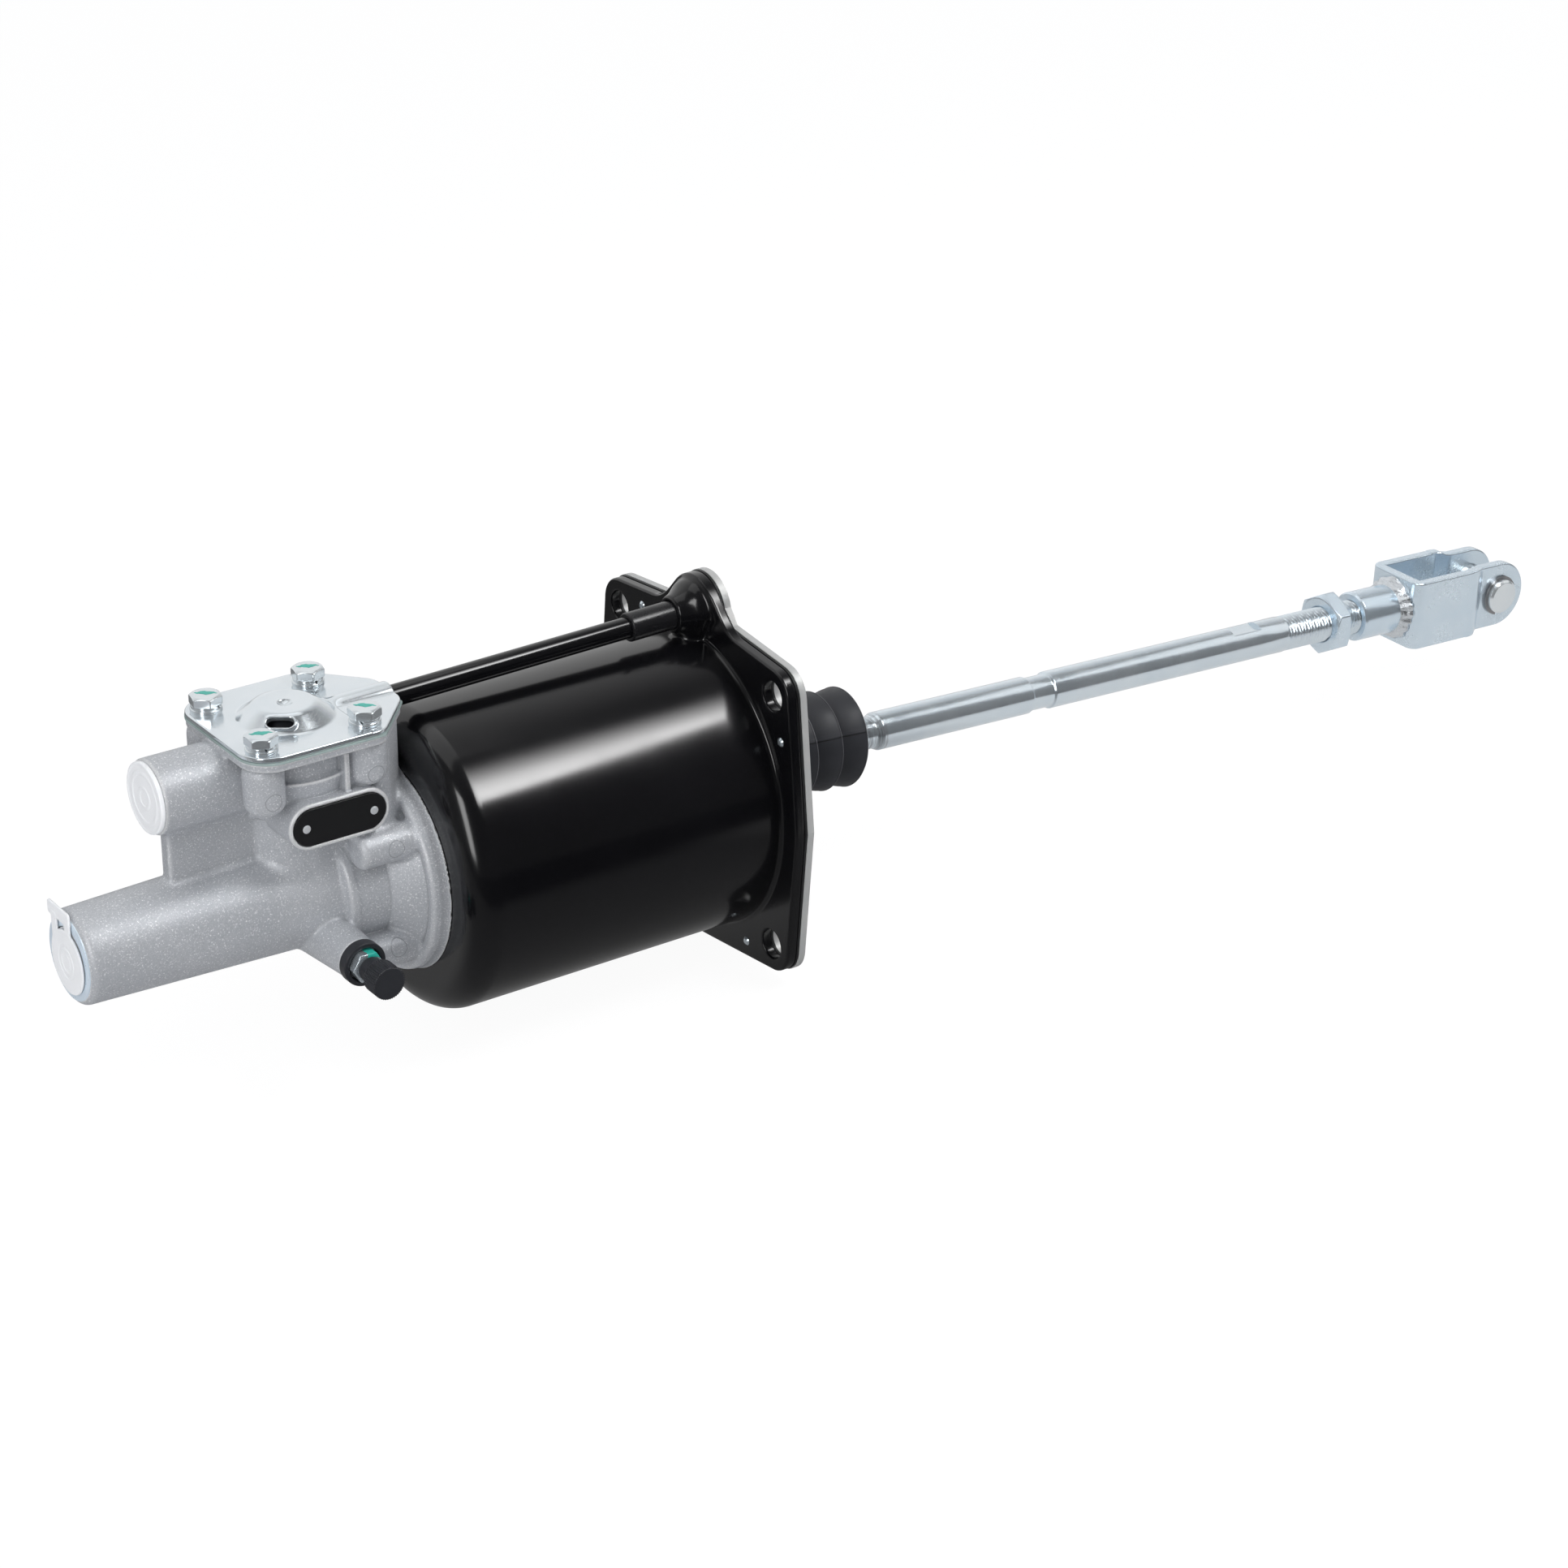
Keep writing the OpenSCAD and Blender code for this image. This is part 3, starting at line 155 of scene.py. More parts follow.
def finish_piece(obj, body, slot, *replaced, look=None):
    """Gives a piece its body, its material slot and the CAD nodes it stands for."""
    obj.data.materials.clear()
    obj.data.materials.append(look or LOOKS[slot])
    if body:
        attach(obj, body)
    if replaced:
        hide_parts(*replaced)
    return obj


def filleted(corners, steps=5):
    """A polyline of (x, r, radius) corners with an arc at each corner that has a radius."""
    out = []
    count = len(corners)
    for i, (x, r, radius) in enumerate(corners):
        p = np.array([x, r], float)
        if radius <= 0 or i in (0, count - 1):
            out.append((x, r))
            continue
        a = np.array(corners[i - 1][:2], float) - p
        b = np.array(corners[i + 1][:2], float) - p
        la, lb = np.linalg.norm(a), np.linalg.norm(b)
        a, b = a / la, b / lb
        half = math.acos(max(-1, min(1, float(a @ b)))) / 2
        if half < 1e-3 or half > math.pi / 2 - 1e-3:
            out.append((x, r))
            continue
        back = min(radius / math.tan(half), la * 0.49, lb * 0.49)
        size = back * math.tan(half)
        centre = p + (a + b) / np.linalg.norm(a + b) * size / math.sin(half)
        first, last = p + a * back - centre, p + b * back - centre
        sweep = math.pi - 2 * half
        turn = 1 if first[0] * last[1] - first[1] * last[0] > 0 else -1
        for k in range(steps + 1):
            t = turn * sweep * k / steps
            c, s = math.cos(t), math.sin(t)
            q = centre + [c * first[0] - s * first[1], s * first[0] + c * first[1]]
            out.append((q[0], q[1]))
    return out


def turned(name, profile, place=None, sides=96, sharp=SHARP, wave=None, centre=None):
    """A body of revolution about X from a profile of (x, r).

    wave, where given, returns the radii of a ring from x, r and the angles. centre returns
    the z of a ring's middle and the tangent of its tilt from x."""
    angles = np.arange(sides) * 2 * math.pi / sides
    rings, points, faces = [], [], []
    count = 0
    for x, r in profile:
        z, tilt = centre(x) if centre else (0.0, 0.0)
        if r < 1e-6:
            rings.append([count])
            points.append(np.array([[x, 0.0, z]]))
            count += 1
            continue
        q = wave(x, r, angles) if wave else r
        up = q * np.sin(angles)
        points.append(np.stack([x - tilt * up, -q * np.cos(angles), z + up], 1))
        rings.append(list(range(count, count + sides)))
        count += sides
    for a, b in zip(rings, rings[1:]):
        for k in range(sides):
            m = (k + 1) % sides
            if len(a) == 1 and len(b) > 1:
                faces.append((a[0], b[k], b[m]))
            elif len(b) == 1 and len(a) > 1:
                faces.append((a[k], b[0], a[m]))
            elif len(a) > 1:
                faces.append((a[k], b[k], b[m], a[m]))
    return new_object(name, np.concatenate(points), faces, place, sharp)


def joined(name, objects):
    """Several mesh objects made into one."""
    points, faces, start = [], [], 0
    for obj in objects:
        points += [tuple(v.co / MM) for v in obj.data.vertices]
        faces += [[start + i for i in p.vertices] for p in obj.data.polygons]
        start += len(obj.data.vertices)
        bpy.data.objects.remove(obj)
    return new_object(name, points, faces)


# Distance fields: negative inside, in millimetres

def lines(*stops):
    """Grid lines between stops: a place, a spacing, the next place, and so on."""
    out = [np.array([stops[0]], float)]
    for start, step, end in zip(stops[0:-2:2], stops[1:-1:2], stops[2::2]):
        count = max(2, round((end - start) / (step * STEP_SCALE)))
        out.append(np.linspace(start, end, count + 1)[1:])
    return np.concatenate(out)


def capped(a, b, edge=0.0):
    """The body inside both distances, its edge rounded."""
    p, q = a + edge, b + edge
    outside = np.hypot(np.maximum(p, 0), np.maximum(q, 0))
    return np.minimum(np.maximum(p, q), 0) + outside - edge


def span(v, start, end):
    """Distance to a slab between two planes."""
    return np.abs(v - (start + end) / 2) - abs(end - start) / 2


def join(a, b, r=0.0):
    """Union of two bodies with a fillet of radius r between them."""
    if r <= 0:
        return np.minimum(a, b)
    return np.maximum(r, np.minimum(a, b)) - np.hypot(np.maximum(r - a, 0), np.maximum(r - b, 0))


def cut(a, b, soft=0.0):
    """Body a without body b."""
    return -join(-a, b, soft)


def both(a, b, soft=0.0):
    """The space that two bodies share."""
    return -join(-a, -b, soft)


def rod_x(g, start, end, r, y=0.0, z=0.0, edge=0.0):
    """A round bar along X."""
    return capped(span(g[0], start, end), np.hypot(g[1] - y, g[2] - z) - r, edge)


def rod_y(g, start, end, r, x=0.0, z=0.0, edge=0.0):
    """A round bar along Y."""
    return capped(span(g[1], start, end), np.hypot(g[0] - x, g[2] - z) - r, edge)


def rod_z(g, start, end, r, x=0.0, y=0.0, edge=0.0):
    """A round bar along Z."""
    return capped(span(g[2], start, end), np.hypot(g[0] - x, g[1] - y) - r, edge)


def block(g, lowest, highest, edge=0.0):
    """A box with rounded edges."""
    p, q, r = (span(v, a, b) + edge for v, a, b in zip(g, lowest, highest))
    inside = np.minimum(np.maximum(np.maximum(p, q), r), 0)
    return inside + np.sqrt(np.maximum(p, 0)**2 + np.maximum(q, 0)**2 + np.maximum(r, 0)**2) - edge


def box_2d(u, v, half_u, half_v, corner):
    """Distance to a rectangle with round corners."""
    return capped(np.abs(u) - half_u, np.abs(v) - half_v, corner)


def stadium_2d(u, v, length, height):
    """Distance to a bar with round ends."""
    beyond = np.maximum(np.abs(u) - (length - height) / 2, 0)
    return np.hypot(beyond, v) - height / 2


def hexagon_2d(u, v, flats, corner):
    """Distance to a hexagon across its flats, two of them facing along u."""
    half = flats / 2
    d = np.abs(u) - half
    for turn in (60, 120):
        c, s = math.cos(math.radians(turn)), math.sin(math.radians(turn))
        d = both(d, np.abs(u * c + v * s) - half, corner)
    return d


def crossing_surface(field):
    """Points and quads of the surface where a field is zero, in grid units."""
    n = field.shape
    cell_ids, crossings, quads = [], [], []
    for axis in range(3):
        u, v = (axis + 1) % 3, (axis + 2) % 3
        first = [slice(None)] * 3
        second = [slice(None)] * 3
        first[axis], second[axis] = slice(0, -1), slice(1, None)
        a, b = field[tuple(first)], field[tuple(second)]
        where = np.argwhere((a < 0) != (b < 0))
        where = where[(where[:, u] > 0) & (where[:, v] > 0)]
        va, vb = a[tuple(where.T)], b[tuple(where.T)]
        point = where.astype(float)
        point[:, axis] += va / (va - vb)
        quad = []
        for du, dv in ((1, 1), (0, 1), (0, 0), (1, 0)):
            cell = where.copy()
            cell[:, u] -= du
            cell[:, v] -= dv
            ids = (cell[:, 0] * n[1] + cell[:, 1]) * n[2] + cell[:, 2]
            quad.append(ids)
            cell_ids.append(ids)
            crossings.append(point)
        quad = np.stack(quad, 1)
        inward = va >= 0
        quad[inward] = quad[inward][:, ::-1]
        quads.append(quad)
    ids, index = np.unique(np.concatenate(cell_ids), return_inverse=True)
    where = np.concatenate(crossings)
    count = np.bincount(index)
    points = np.stack([np.bincount(index, where[:, k]) / count for k in range(3)], 1)
    return points, np.searchsorted(ids, np.concatenate(quads))


def slope(make, points, reach):
    """The gradient of a distance function at points."""
    return np.stack([make(list((points + e).T)) - make(list((points - e).T))
                     for e in np.eye(3) * reach], 1) / (2 * reach)


def from_field(make, axes):
    """Points, faces and normals of the body inside a distance function, on grid lines."""
    spread = np.meshgrid(*[a.astype(np.float32) for a in axes], indexing="ij", sparse=True)
    shape = tuple(len(a) for a in axes)
    field = np.ascontiguousarray(np.broadcast_to(make(list(spread)), shape))
    points, faces = crossing_surface(field)
    points = np.stack([np.interp(points[:, k], np.arange(shape[k]), axes[k])
                       for k in range(3)], 1)
    fine = min(float(np.diff(a).min()) for a in axes)
    for _ in range(3):
        lean = slope(make, points, 0.02)
        move = lean * (make(list(points.T)) / np.maximum((lean**2).sum(1), 0.1))[:, None]
        points = points - np.clip(move, -0.35 * fine, 0.35 * fine)
    lean = slope(make, points, 0.3 * fine)
    normals = lean / np.maximum(np.linalg.norm(lean, axis=1), 1e-6)[:, None]
    return points, faces, normals


def field_object(name, make, *axes, place=None):
    """An object from a distance function and its grid lines."""
    return copies(name, make, axes, [place or Matrix.Identity(4)])


def copies(name, make, axes, places):
    """One object with a copy of the same body at each of several matrices."""
    points, faces, normals = from_field(make, axes)
    parts, bends, quads = [], [], []
    for k, place in enumerate(places):
        turn = np.array(place.to_3x3())
        parts.append(points @ turn.T + np.array(place.translation))
        bends.append(normals @ turn.T)
        quads.append(faces + k * len(points))
    return new_object(name, np.concatenate(parts), np.concatenate(quads),
                      normals=np.concatenate(bends))


# Camera, light and stage

LENS = 91.3
SENSOR = 36.0
CAMERA_MM = Vector((-711.15, -1052.77, 607.58))
CAMERA_RIGHT = Vector((0.81815, -0.57500, 0.00361))
CAMERA_UP = Vector((0.24751, 0.35783, 0.90039))
# the stage, in metres: the floor lies just under the flange
FLOOR_Z = -0.0632
FLOOR_HALF = 6.0
SOFT_BOX_HALF_X = 0.22
SOFT_BOX_HALF_Y = 0.60
# the soft box's strength at its middle, and its rise per metre towards the rod's end
SOFT_BOX_POWER = 13.5
SOFT_BOX_SLOPE = 22.0


def add_camera():
    """The photograph's view: the camera looks along a slightly rolled line of sight."""
    data = bpy.data.cameras.new("camera")
    data.lens = LENS
    data.sensor_width = SENSOR
    data.clip_end = 20
    obj = bpy.data.objects.new("camera", data)
    right = CAMERA_RIGHT.normalized()
    back = right.cross(CAMERA_UP).normalized()
    up = back.cross(right)
    turn = Matrix((right, up, back)).transposed().to_4x4()
    obj.matrix_world = Matrix.Translation(CAMERA_MM * MM) @ turn
    bpy.context.scene.collection.objects.link(obj)
    bpy.context.scene.camera = obj


def add_area(name, place, target, width, height, power):
    """A soft box that faces a target."""
    data = bpy.data.lights.new(name, "AREA")
    data.shape = "RECTANGLE"
    data.size, data.size_y = width, height
    data.energy = power
    obj = bpy.data.objects.new(name, data)
    obj.location = place
    obj.rotation_euler = (Vector(target) - Vector(place)).to_track_quat("-Z", "Y").to_euler()
    bpy.context.scene.collection.objects.link(obj)
    return obj


class Nodes:
    """A few words for building a node tree."""

    def __init__(self, tree):
        self.tree = tree
        tree.nodes.clear()

    @classmethod
    def of(cls, tree):
        """The same words for a tree that keeps its nodes."""
        words = cls.__new__(cls)
        words.tree = tree
        return words

    def add(self, kind, settings=None, **inputs):
        """A node with its settings and its inputs, which are values or other nodes' outputs."""
        node = self.tree.nodes.new(kind)
        for key, value in (settings or {}).items():
            setattr(node, key, value)
        for key, value in inputs.items():
            socket = node.inputs[int(key[1:])] if key[0] == "i" and key[1:].isdigit() \
                else node.inputs[key.replace("_", " ")]
            if isinstance(value, bpy.types.NodeSocket):
                self.link(value, socket)
            else:
                socket.default_value = value
        return node

    def link(self, value, socket):
        """Joins an output to an input."""
        self.tree.links.new(value, socket)

    def object_place(self):
        """Coordinates on the object."""
        return self.add("ShaderNodeTexCoord").outputs["Object"]

    def axes(self, vector):
        """The X, Y and Z of a vector."""
        return self.add("ShaderNodeSeparateXYZ", None, Vector=vector).outputs

    def math(self, operation, a, b=0.0):
        """The result of a Math node."""
        return self.add("ShaderNodeMath", {"operation": operation}, i0=a, i1=b).outputs[0]

    def times(self, a, b):
        """The product of two values."""
        return self.math("MULTIPLY", a, b)

    def mix(self, factor, a, b):
        """The result of a colour Mix node."""
        settings = {"data_type": "RGBA"}
        return self.add("ShaderNodeMix", settings, i0=factor, i6=a, i7=b).outputs[2]

    def ramp(self, factor, *stops):
        """The result of a colour ramp with stops of (place, grey value)."""
        node = self.add("ShaderNodeValToRGB", i0=factor)
        elements = node.color_ramp.elements
        while len(elements) < len(stops):
            elements.new(0.5)
        for element, (place, value) in zip(elements, stops):
            element.position = place
            element.color = (value, value, value, 1)
        return node.outputs[0]

    def noise(self, vector, scale, detail=3.0, rough=0.5):
        """The result of a noise texture."""
        return self.add("ShaderNodeTexNoise", None, Vector=vector, Scale=scale,
                        Detail=detail, Roughness=rough).outputs[0]


def stage_sheet(name, half_x, half_y, z=0.0):
    """A rectangle of the stage with a material of its own, and that material's nodes."""
    mesh = bpy.data.meshes.new(name)
    corners = [(-half_x, -half_y, z), (half_x, -half_y, z), (half_x, half_y, z),
               (-half_x, half_y, z)]
    mesh.from_pydata(corners, [], [(0, 1, 2, 3)])
    obj = bpy.data.objects.new(name, mesh)
    bpy.context.scene.collection.objects.link(obj)
    look = bpy.data.materials.new(name)
    look.use_nodes = True
    mesh.materials.append(look)
    return obj, Nodes(look.node_tree)


def add_floor():
    """White floor. Glossy surfaces see it as a table that ends in front of the object."""
    floor, n = stage_sheet("floor", FLOOR_HALF, FLOOR_HALF, FLOOR_Z)
    path = n.add("ShaderNodeLightPath").outputs
    # the share that the camera sees as plain white; the rest takes the object's shadow
    seen = n.times(path["Is Camera Ray"], 0.90)
    share = n.math("MAXIMUM", seen, path["Is Glossy Ray"])
    pale = n.add("ShaderNodeBsdfDiffuse", None, Color=(0.80, 0.80, 0.81, 1)).outputs[0]
    # the table that glossy surfaces show: it ends in front, and is brighter round the rod
    part = n.axes(n.object_place())
    depth = n.math("ADD", part["Y"], 0.5)
    table = n.ramp(depth, (0.25, 0.0), (0.32, 0.12), (0.46, 0.17), (0.50, 0.32), (0.60, 0.30),
                   (0.75, 0.12))
    round_rod = n.ramp(n.math("ADD", part["X"], 0.5), (0.55, 0.0), (0.66, 1.0))
    round_rod = n.times(round_rod, n.ramp(depth, (0.22, 0.0), (0.30, 1.0)))
    shown = n.mix(round_rod, table, (0.66, 0.66, 0.66, 1))
    tone = n.mix(path["Is Glossy Ray"], (1.0, 1.0, 1.0, 1), shown)
    strength = n.math("ADD", 1.0, n.times(path["Is Camera Ray"], 0.05))
    light = n.add("ShaderNodeEmission", None, Color=tone, Strength=strength).outputs[0]
    both_looks = n.add("ShaderNodeMixShader", None, i0=share, i1=pale, i2=light).outputs[0]
    n.add("ShaderNodeOutputMaterial", None, Surface=both_looks)


def add_world():
    """White surroundings, with the studio's dim front seen in glossy surfaces."""
    world = bpy.data.worlds.new("studio")
    bpy.context.scene.world = world
    world.use_nodes = True
    n = Nodes(world.node_tree)
    path = n.add("ShaderNodeLightPath").outputs
    toward = n.add("ShaderNodeTexCoord").outputs["Generated"]
    part = n.axes(toward)
    # bright wall behind the object, dim studio in front and overhead
    back = n.ramp(n.math("ADD", n.times(part["Y"], 0.5), 0.5),
                  (0.12, 0.05), (0.35, 0.12), (0.55, 0.15), (0.72, 0.55), (0.88, 0.90))
    seen = n.math("MAXIMUM", path["Is Camera Ray"], path["Is Transmission Ray"])
    direct = n.mix(path["Is Glossy Ray"], (0.50, 0.51, 0.535, 1), back)
    colour = n.mix(seen, direct, (1, 1, 1, 1))
    light = n.add("ShaderNodeBackground", None, Color=colour, Strength=1.0).outputs[0]
    n.add("ShaderNodeOutputWorld", None, Surface=light)


def add_soft_box():
    """A soft box whose light fades towards two of its edges, as the highlight shows it."""
    obj, n = stage_sheet("soft_box", SOFT_BOX_HALF_X, SOFT_BOX_HALF_Y)
    obj.location = (0.34, -0.60, 0.957)
    obj.rotation_euler = (math.radians(-30) + math.pi, 0, 0)
    part = n.axes(n.object_place())
    fade = n.ramp(n.math("ABSOLUTE", n.math("DIVIDE", part["Y"], SOFT_BOX_HALF_Y)),
                  (0.0, 1.0), (0.38, 0.84), (0.66, 0.38), (0.88, 0.06), (1.0, 0.0))
    # brighter towards the rod's end
    along = n.math("ADD", SOFT_BOX_POWER, n.times(part["X"], SOFT_BOX_SLOPE))
    strength = n.times(fade, along)
    light = n.add("ShaderNodeEmission", None, Strength=strength).outputs[0]
    n.add("ShaderNodeOutputMaterial", None, Surface=light)
    obj.visible_camera = False


def add_lights():
    """Soft studio light from above, the left and behind."""
    add_soft_box()
    add_area("left_box", (-1.3, -0.7, 0.7), (-0.15, 0, 0), 0.35, 1.2, 7)
    add_area("top_box", (-0.1, 0.3, 1.5), (-0.05, 0, 0), 1.4, 0.9, 2.5)
    add_area("right_box", (1.2, -0.3, 0.7), (0.2, 0, 0), 0.8, 0.8, 1.5)
    fill = add_area("left_fill", (-1.4, -0.9, 0.35), (-0.2, 0, 0), 1.2, 1.2, 6.5)
    fill.visible_glossy = False


# Materials

def shader(name, base, roughness, metallic=0.0, **fixed):
    """A material with a Principled shader; returns the material, its nodes and the shader."""
    look = bpy.data.materials.new(name)
    look.use_nodes = True
    n = Nodes(look.node_tree)
    bsdf = n.add("ShaderNodeBsdfPrincipled")
    bsdf.inputs["Base Color"].default_value = (*base, 1)
    bsdf.inputs["Roughness"].default_value = roughness
    bsdf.inputs["Metallic"].default_value = metallic
    for key, value in fixed.items():
        bsdf.inputs[key.replace("_", " ")].default_value = value
    n.add("ShaderNodeOutputMaterial", None, Surface=bsdf.outputs[0])
    where = n.object_place()
    return look, n, bsdf, where


def grey(base, factor):
    """A colour scaled, as a node's colour value."""
    return tuple(min(1.0, c * factor) for c in base) + (1,)


def reopened(look):
    """The nodes, the shader and the object's coordinates of a finished material."""
    n = Nodes.of(look.node_tree)
    bsdf = next(node for node in look.node_tree.nodes if node.type == "BSDF_PRINCIPLED")
    return n, bsdf, n.object_place()


def bump(n, bsdf, height, strength, distance):
    """A bump from a height on the shader's normal."""
    node = n.add("ShaderNodeBump", None, Height=height, Strength=strength, Distance=distance)
    n.link(node.outputs[0], bsdf.inputs["Normal"])


def mark_rings(n, where):
    """1 on the fine ring round each ejector pin's mark, elsewhere 0."""
    part = n.axes(where)
    near = n.math("LESS_THAN", part["Y"], -14 * MM)
    rings = 0.0
    for x, z in EJECTOR_MARKS:
        dx = n.math("SUBTRACT", part["X"], x * MM)
        dz = n.math("SUBTRACT", part["Z"], z * MM)
        away = n.math("SQRT", n.math("ADD", n.times(dx, dx), n.times(dz, dz)))
        off = n.math("ABSOLUTE", n.math("SUBTRACT", away, EJECTOR_R * MM))
        edge = n.math("LESS_THAN", off, 0.16 * MM)
        rings = n.math("ADD", edge, rings)
    return n.times(rings, near)


def cast_look():
    """Blasted cast aluminium: grey with a fine bright grain that is partly painted glints, faint
    clouds, a painted highlight on convex edges and painted shade in creases.
    """
    base = (0.445, 0.465, 0.495)
    look, n, bsdf, where = shader("cast_aluminium", base, 0.5, 0.35)
    grain = n.noise(where, 1700, 3, 0.75)
    coarse = n.noise(where, 600, 3, 0.6)
    clouds = n.noise(where, 40, 4, 0.6)
    tone = n.mix(clouds, grey(base, 0.90), grey((base[0] * 1.02, base[1], base[2] * 0.98), 1.10))
    dark = n.ramp(grain, (0.30, 1.0), (0.44, 0.0))
    tone = n.mix(n.times(dark, 0.45), tone, grey(base, 0.55))
    # bright flecks of the grain, partly painted glints: the specks are near white in the colour
    # itself
    grain_and_painted_glint = n.ramp(grain, (0.57, 0.0), (0.67, 1.0))
    tone = n.mix(n.times(grain_and_painted_glint, 0.85), tone, (0.93, 0.93, 0.92, 1))
    # painted highlight: convex edges are made lighter in the colour by their pointiness
    bend = n.add("ShaderNodeNewGeometry").outputs["Pointiness"]
    painted_highlight_and_marks = n.ramp(bend, (0.51, 0.0), (0.55, 1.0))
    tone = n.mix(n.times(painted_highlight_and_marks, 0.6), tone, (0.78, 0.78, 0.77, 1))
    # painted shade: hollows and creases are made darker in the colour by their pointiness
    hollow = n.ramp(bend, (0.45, 1.0), (0.492, 0.0))
    tone = n.mix(n.times(hollow, 0.5), tone, grey(base, 0.5))
    ring = mark_rings(n, where)
    tone = n.mix(n.times(ring, 0.55), tone, grey(base, 0.45))
    n.link(tone, bsdf.inputs["Base Color"])
    rough = n.ramp(coarse, (0.3, 0.40), (0.7, 0.55))
    n.link(rough, bsdf.inputs["Roughness"])
    height = n.math("ADD", n.times(grain, 0.8), coarse)
    height = n.math("SUBTRACT", height, n.times(ring, 1.6))
    bump(n, bsdf, height, 0.45, 0.00014)
    return look


def zinc_look(name="bright_zinc", base=(0.745, 0.815, 0.865), low_rough=0.13, high_rough=0.26,
              metallic=0.85, grain=0.12):
    """Bright zinc plate: bluish, with drifts of a duller tone and fine rubbed marks."""
    look, n, bsdf, where = shader(name, base, 0.2, metallic)
    clouds = n.noise(where, 60, 5, 0.65)
    fine = n.noise(where, 900, 3, 0.6)
    tone = n.mix(clouds, grey((base[0] * 0.93, base[1] * 0.97, base[2]), 0.92),
                 grey((base[0] * 1.02, base[1], base[2] * 0.985), 1.06))
    n.link(tone, bsdf.inputs["Base Color"])
    blend = n.math("ADD", n.times(clouds, 0.6), n.times(fine, 0.4))
    rough = n.ramp(blend, (0.35, low_rough), (0.65, high_rough))
    n.link(rough, bsdf.inputs["Roughness"])
    bump(n, bsdf, n.math("ADD", fine, n.noise(where, 220, 3, 0.6)), grain, 0.00008)
    return look


def marked_zinc_look():
    """Bright zinc with a dab of marking paint on one side of the bleed screw."""
    look = zinc_look("marked_zinc", low_rough=0.12, high_rough=0.25)
    n, bsdf, where = reopened(look)
    part = n.axes(where)
    rise = n.math("SUBTRACT", part["Z"], (BLEED_Z + 1.5) * MM)
    side = n.math("SUBTRACT", part["X"], (BLEED_X - 1.5) * MM)
    wave = n.times(n.noise(where, 500, 2, 0.5), 2.5 * MM)
    inside = n.times(n.math("GREATER_THAN", rise, wave), n.math("GREATER_THAN", side, wave))
    bare = n.math("SUBTRACT", 1.0, inside)
    old = bsdf.inputs["Base Color"].links[0].from_socket
    n.link(n.mix(inside, old, (0.03, 0.42, 0.34, 1)), bsdf.inputs["Base Color"])
    n.link(n.times(bare, 0.8), bsdf.inputs["Metallic"])
    return look


def black_paint_look():
    """Gloss black paint with a faint orange peel."""
    look, n, bsdf, where = shader("black_paint", (0.0035, 0.0035, 0.004), 0.16,
                                  Specular_IOR_Level=0.6)
    clouds = n.noise(where, 30, 4, 0.6)
    rough = n.ramp(clouds, (0.3, 0.13), (0.75, 0.19))
    n.link(rough, bsdf.inputs["Roughness"])
    tone = n.mix(clouds, (0.0025, 0.0025, 0.003, 1), (0.0045, 0.0045, 0.0055, 1))
    n.link(tone, bsdf.inputs["Base Color"])
    bump(n, bsdf, n.noise(where, 350, 2, 0.5), 0.03, 0.00008)
    return look


def rubber_look(name="black_rubber", base=(0.017, 0.018, 0.022), roughness=0.38):
    """Moulded black rubber with a soft shine and a little bloom."""
    look, n, bsdf, where = shader(name, base, roughness, Specular_IOR_Level=0.45)
    clouds = n.noise(where, 120, 4, 0.6)
    fine = n.noise(where, 1800, 2, 0.6)
    tone = n.mix(clouds, grey(base, 0.8), grey(base, 1.35))
    n.link(tone, bsdf.inputs["Base Color"])
    rough = n.ramp(clouds, (0.3, roughness - 0.08), (0.7, roughness + 0.1))
    n.link(rough, bsdf.inputs["Roughness"])
    bump(n, bsdf, fine, 0.12, 0.00006)
    return look


BOOT_SEAM_TURN = math.radians(27)


def boot_look():
    """The boot's rubber, with the dark line of its moulding seam on the near side and a painted
    highlight on the fold crests.
    """
    look = rubber_look("boot_rubber", (0.019, 0.020, 0.025), 0.5)
    n, bsdf, where = reopened(look)
    part = n.axes(where)
    sag = n.times(n.math("SUBTRACT", part["X"], 20 * MM), 0.07)
    wave = n.times(n.noise(where, 300, 2, 0.5), 0.5 * MM)
    c, s = math.cos(BOOT_SEAM_TURN), math.sin(BOOT_SEAM_TURN)
    rise = n.times(n.math("ADD", part["Z"], sag), c)
    rise = n.math("ADD", rise, n.times(part["Y"], s))
    away = n.math("ABSOLUTE", n.math("ADD", rise, wave))
    line = n.math("LESS_THAN", away, 0.2 * MM)
    old = bsdf.inputs["Base Color"].links[0].from_socket
    tone = n.mix(line, old, (0.004, 0.004, 0.005, 1))
    # painted highlight: the fold crests are made lighter in the colour by their pointiness
    painted_highlight_and_marks = n.ramp(n.add("ShaderNodeNewGeometry").outputs["Pointiness"], (0.51, 0.0), (0.56, 1.0))
    tone = n.mix(n.times(painted_highlight_and_marks, 0.9), tone, (0.13, 0.13, 0.14, 1))
    n.link(tone, bsdf.inputs["Base Color"])
    return look


def weld_look():
    """Zinc on a weld: rough, with slanted bright strokes."""
    look, n, bsdf, where = shader("weld_zinc", (0.76, 0.81, 0.85), 0.3, 1.0)
    turned_way = n.add("ShaderNodeMapping", None, Vector=where, Rotation=(0.5, 0.3, 0.6),
                       Scale=(1.0, 0.22, 1.0)).outputs[0]
    strokes = n.noise(turned_way, 700, 3, 0.65)
    tone = n.mix(strokes, (0.45, 0.50, 0.54, 1), (0.95, 0.97, 1.0, 1))
    n.link(tone, bsdf.inputs["Base Color"])
    n.link(n.ramp(strokes, (0.35, 0.2), (0.7, 0.5)), bsdf.inputs["Roughness"])
    bump(n, bsdf, strokes, 0.9, 0.0006)
    return look


